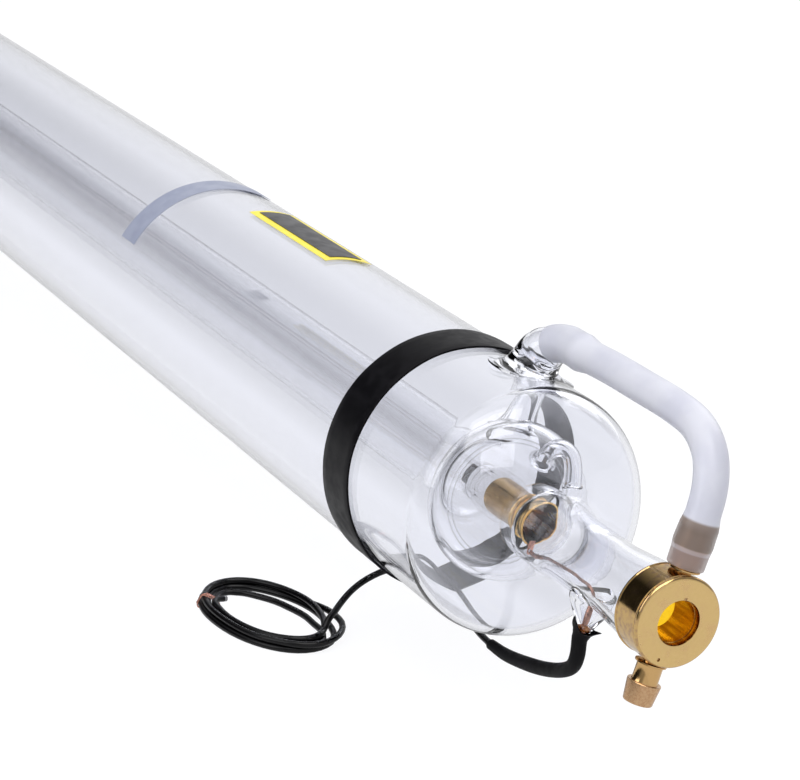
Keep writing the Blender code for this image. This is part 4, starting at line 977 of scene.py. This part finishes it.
def make_rear_head():
    inner, rear = -FACE_X + 14, -FACE_X
    head = ring("rear_head_turned", [
        (inner, 10.9), (inner, 13.4), (inner - 0.3, 13.7), (rear + 4.6, 13.7),
        (rear + 4.3, 13.3), (rear + 3.9, 13.3), (rear + 3.6, 13.7), (rear + 0.9, 13.7),
        (rear + 0.3, 13.4), (rear, 12.8), (rear, 7.8), (rear + 0.3, 7.5), (inner - 2.8, 7.5),
        (inner - 2.8, 10.9)], 96)
    finished(head, 35, "gold", "gilt_metal", "rear_head")
    mirror = solid("rear_mirror_disc", [
        (inner - 2.5, 10.4), (inner - 2.3, 10.6), (inner - 0.2, 10.6), (inner, 10.4)], 96)
    finished(mirror, 40, "mirror", "mirror_metal", "rear_mirror")


def make_hose():
    """The hose, swollen over the nipple at one end and over the barb at the other."""
    nipple, run = front_water_route()
    line = smooth_path(nipple + run, 10)
    tip = path_length(smooth_path(nipple, 10))
    start, end = tip - 19, path_length(line)
    grip = end - 17
    outer = [(start, 5.7), (start + 0.3, 5.95), (tip - 5, 5.85), (tip - 2, 6.0),
             (tip + 4, 5.1), (grip + 1.5, 5.1), (grip + 5, 5.7), (grip + 10, 5.9),
             (end - 4.2, 5.6), (end - 0.3, 5.5), (end, 5.3)]
    inner = [(end, 4.6), (end - 5.6, 4.6), (end - 6, 5.3), (grip + 5, 4.9),
             (grip + 1.5, 3.6), (tip + 4, 3.6), (tip + 0.3, 5.4), (start, 5.3)]
    outline = filled_in(outer, 1.6) + filled_in(inner, 1.6)
    hose = bend_along(ring("milky_hose", outline, 40), line)
    finished(hose, 40, "silicone", "silicone", "cooling_hose")


def make_band():
    """A tight band that is drawn over the lead like a tent."""
    clear_selection()
    seat, thick, wide, clear = 40.3, 0.75, 18.5, 1.4
    lead_y, lead_z = -4.0, -41.56
    lead_out, lead_angle = math.hypot(lead_y, lead_z), math.atan2(lead_y, lead_z)
    lift = math.acos((seat - clear) / lead_out)
    bpy.ops.mesh.primitive_cylinder_add(
        vertices=240, radius=seat * MM, depth=wide * MM, end_fill_type="NOTHING",
        location=(BAND_X * MM, 0, 0), rotation=(0, math.pi / 2, 0))
    band = bpy.context.object
    band.name = "black_band_wrap"
    bpy.ops.object.transform_apply()
    edit(band)
    bpy.ops.mesh.subdivide(number_cuts=5)
    leave()
    for vertex in band.data.vertices:
        x, y, z = vertex.co / MM
        angle = math.atan2(y, z)
        off = abs(math.remainder(angle - lead_angle, math.tau))
        radius = seat
        if off < lift:
            radius = min(radius / math.cos(lift - off), lead_out + clear)
        along = (x - BAND_X) / wide
        radius += 0.07 * math.sin(angle * 9 + along * 7) * math.sin(along * 5 + angle * 3)
        x += 0.15 * math.sin(angle * 5) * (1 if along > 0.4 else 0)
        vertex.co = Vector((x, radius * math.sin(angle), radius * math.cos(angle))) * MM
    applied(band, "SOLIDIFY", thickness=thick * MM, offset=1)
    bevelled(band, 0.18, 50)
    dressed(smooth(cleaned(band), 40), "band", "black_plastic", "black_band")


def film_sheet(name, length, start, width, seat, centre_x):
    """A film on the shell: a drawn line is spun round the axis, then given a thickness."""
    y, z = seat * math.sin(start), seat * math.cos(start)
    film = drawn(name, [(centre_x - length / 2 + length * i / 12, y, z) for i in range(13)])
    edit(film)
    bpy.ops.mesh.spin(steps=48, angle=width / seat, center=(0, 0, 0), axis=(1, 0, 0))
    bpy.ops.mesh.select_all(action="SELECT")
    bpy.ops.mesh.remove_doubles(threshold=MERGE)
    leave()
    if sum(p.normal.dot(Vector((0, p.center.y, p.center.z))) for p in film.data.polygons) < 0:
        edit(film)
        bpy.ops.mesh.flip_normals()
        leave()
    return applied(film, "SOLIDIFY", thickness=0.15 * MM, offset=1)


def make_labels():
    seat, label_x, corner = 40.25, 327, math.radians(-20.5)
    field = film_sheet("yellow_label", 68, corner, 17.8, seat, label_x)
    finished(field, 40, "yellow", "yellow_film", "label_field")
    panel = film_sheet("dark_label_panel", 62.4, corner + 2.8 / 40, 12.2, seat + 0.25, label_x)
    finished(panel, 40, "dark", "dark_film", "label_panel")
    strip = film_sheet("grey_strip", 13, math.radians(-75), 62, seat, 253)
    finished(strip, 40, "grey", "grey_film", "strip_label")


def split_mouth(sleeve, top):
    """Pull the mouth's rim into pointed petals that stand up round the stem."""
    depth = 1.7
    petals = ((-85, 42, 3.4, 1.5), (68, 30, 0.6, 2.5), (118, 30, 2.6, 1.1), (180, 36, 1.6, 0.7))
    stem = Vector((STEM_X, 0, 0))
    across = Vector((0, math.cos(ROLL), -math.sin(ROLL)))
    for vertex in sleeve.data.vertices:
        place = vertex.co / MM - stem
        share = 1 - (-place.dot(UP) - top) / depth
        if share <= 0 or abs(place.x) > 5:
            continue
        turn = math.degrees(math.atan2(place.dot(across), place.x))
        side = (Vector((place.x, 0, 0)) + across * place.dot(across)).normalized()
        drop = 0.9 * share * max(0.0, math.cos(math.radians(turn)))
        for middle, width, rise, spread in petals:
            near = max(0.0, 1 - abs(math.remainder(turn - middle, 360)) / width)
            place += (UP * rise + side * spread) * near ** 1.3 * share
        vertex.co = (place - UP * drop + stem) * MM


def make_sleeve():
    """Heat-shrink over the pin and the lead, its mouth split into petals round the stem."""
    top, floor, mouth, bore = 18.6, 3.5, 3.1, 1.15
    route = [Vector((STEM_X, 0, 0)) - UP * low for low in (top, top + floor / 2, top + floor)]
    line = smooth_path(route + routed(SLEEVE_ROUTE), 8)
    reach = path_length(line)
    outer = [(0, mouth + 0.25), (0.8, 2.9), (2.2, 2.6), (3.6, 2.35), (5, 2.3),
             (reach * 0.6, 2.25), (reach * 0.85, 2.0), (reach - 0.3, 1.7), (reach, 1.45)]
    inner = [(reach, bore), (5, bore), (3.4, bore), (1.2, 2.4), (0, mouth - 0.25)]
    sleeve = ring("lead_sleeve", filled_in(outer, 0.8) + filled_in(inner, 0.8), 72)
    split_mouth(bend_along(sleeve, line), top)
    dressed(smooth(sleeve, 45), "sleeve", "black_plastic", "heat_shrink_sleeve")


def make_floor():
    """A pale floor that shows white and keeps the shadow."""
    clear_selection()
    bpy.ops.mesh.primitive_plane_add(size=12, location=(0, 0, (SURFACE_Z - 0.05) * MM))
    floor = bpy.context.object
    floor.name = "floor"
    pale = Finish("pale_floor", Base_Color=(0.86, 0.86, 0.87), Roughness=0.7)
    seen, mirrored, through = pale.rays()
    glow = pale.node("ShaderNodeEmission", None, {
        "Color": STUDIO_WHITE, "Strength": 1.07 - mirrored * 0.30 + through * 0.13})
    share = pale.node("ShaderNodeMath", {"operation": "MINIMUM"},
                      [seen * 0.88 + mirrored * 0.72 + through * 0.94, 0.94])
    mixed = pale.node("ShaderNodeMixShader", None,
                      [share, Value(pale, pale.shader.outputs[0]), glow])
    pale.join(mixed, pale.tree.nodes["Material Output"].inputs["Surface"])
    floor.data.materials.append(pale.material)


def make_room():
    """A plain studio: white behind, softer where metal mirrors it and glass shows it."""
    world = bpy.data.worlds.new("studio")
    bpy.context.scene.world = world
    world.use_nodes = True
    room = Nodes(world.node_tree)
    way = room.node("ShaderNodeTexCoord", output="Generated")
    x, y, z = (room.node("ShaderNodeSeparateXYZ", None, [way], output=axis) for axis in "XYZ")
    seen, mirrored, through = room.rays()
    plain = room.band(z, -0.15, 0.75, 0.25, 0.85)
    dim_side = room.band(y, -0.10, 0.50, 0.02, 0.75)
    overhead = room.band(z, 0.55, 0.80, dim_side, 0.85)
    ahead = room.band(x, -0.35, 0.25, overhead, 0.35)
    in_metal = room.band(x, 0.50, 0.80, ahead, 0.82)
    lee_side = room.band(y, -0.05, 0.30, 0.10, 1.16)
    above = room.band(z, 0.05, 0.35, 1.16, lee_side)
    along = room.band(x, -0.80, -0.62, above, 1.16)
    in_glass = room.band(x, 0.15, 0.75, along, 0.35)
    strength = room.choose(mirrored, plain, in_metal)
    strength = room.choose(through, strength, in_glass)
    background = room.tree.nodes["Background"].inputs
    room.join(STUDIO_WHITE, background["Color"])
    room.join(room.choose(seen, strength, 1.04), background["Strength"])


def add_lamps():
    for name, place, size, power, colour in (
            ("key_softbox", (0.9, -0.2, 1.3), 1.1, 12, (1, 0.985, 0.97)),
            ("fill_softbox", (0.4, -1.4, 0.9), 1.0, 7, (0.97, 0.98, 1)),
            ("back_softbox", (-0.3, 1.3, 1.0), 1.2, 8, (1, 1, 1))):
        data = bpy.data.lights.new(name, "AREA")
        data.size = size
        data.energy = power
        data.color = colour
        lamp = bpy.data.objects.new(name, data)
        bpy.context.scene.collection.objects.link(lamp)
        lamp.location = place
        aim = Vector((0.35, 0, 0)) - Vector(place)
        lamp.rotation_euler = aim.to_track_quat("-Z", "Y").to_euler()


def main():
    add_camera()
    finishes.update(make_finishes())
    make_lead()
    make_shell()
    make_jacket()
    make_chamber()
    make_bore_tube()
    make_return_tube()
    make_cathode()
    make_tab()
    make_inner_lead("cathode_inner_lead", "cathode_lead", STEM_X, 1,
                    (NECK_FOOT_X - 6.2, 0, -8.2))
    make_inner_lead("anode_inner_lead", "anode_lead", REAR_STEM_X, -1, (-530.3, 0, -6.85))
    make_pin("cathode_pin_turned", "cathode_pin", STEM_X)
    make_pin("anode_pin_turned", "anode_pin", REAR_STEM_X)
    make_anode()
    make_head()
    make_lens()
    make_barbs()
    make_rear_head()
    make_hose()
    make_band()
    make_labels()
    make_sleeve()
    make_floor()
    make_room()
    add_lamps()
    bpy.context.scene.view_settings.view_transform = "Standard"
    clear_selection()


main()
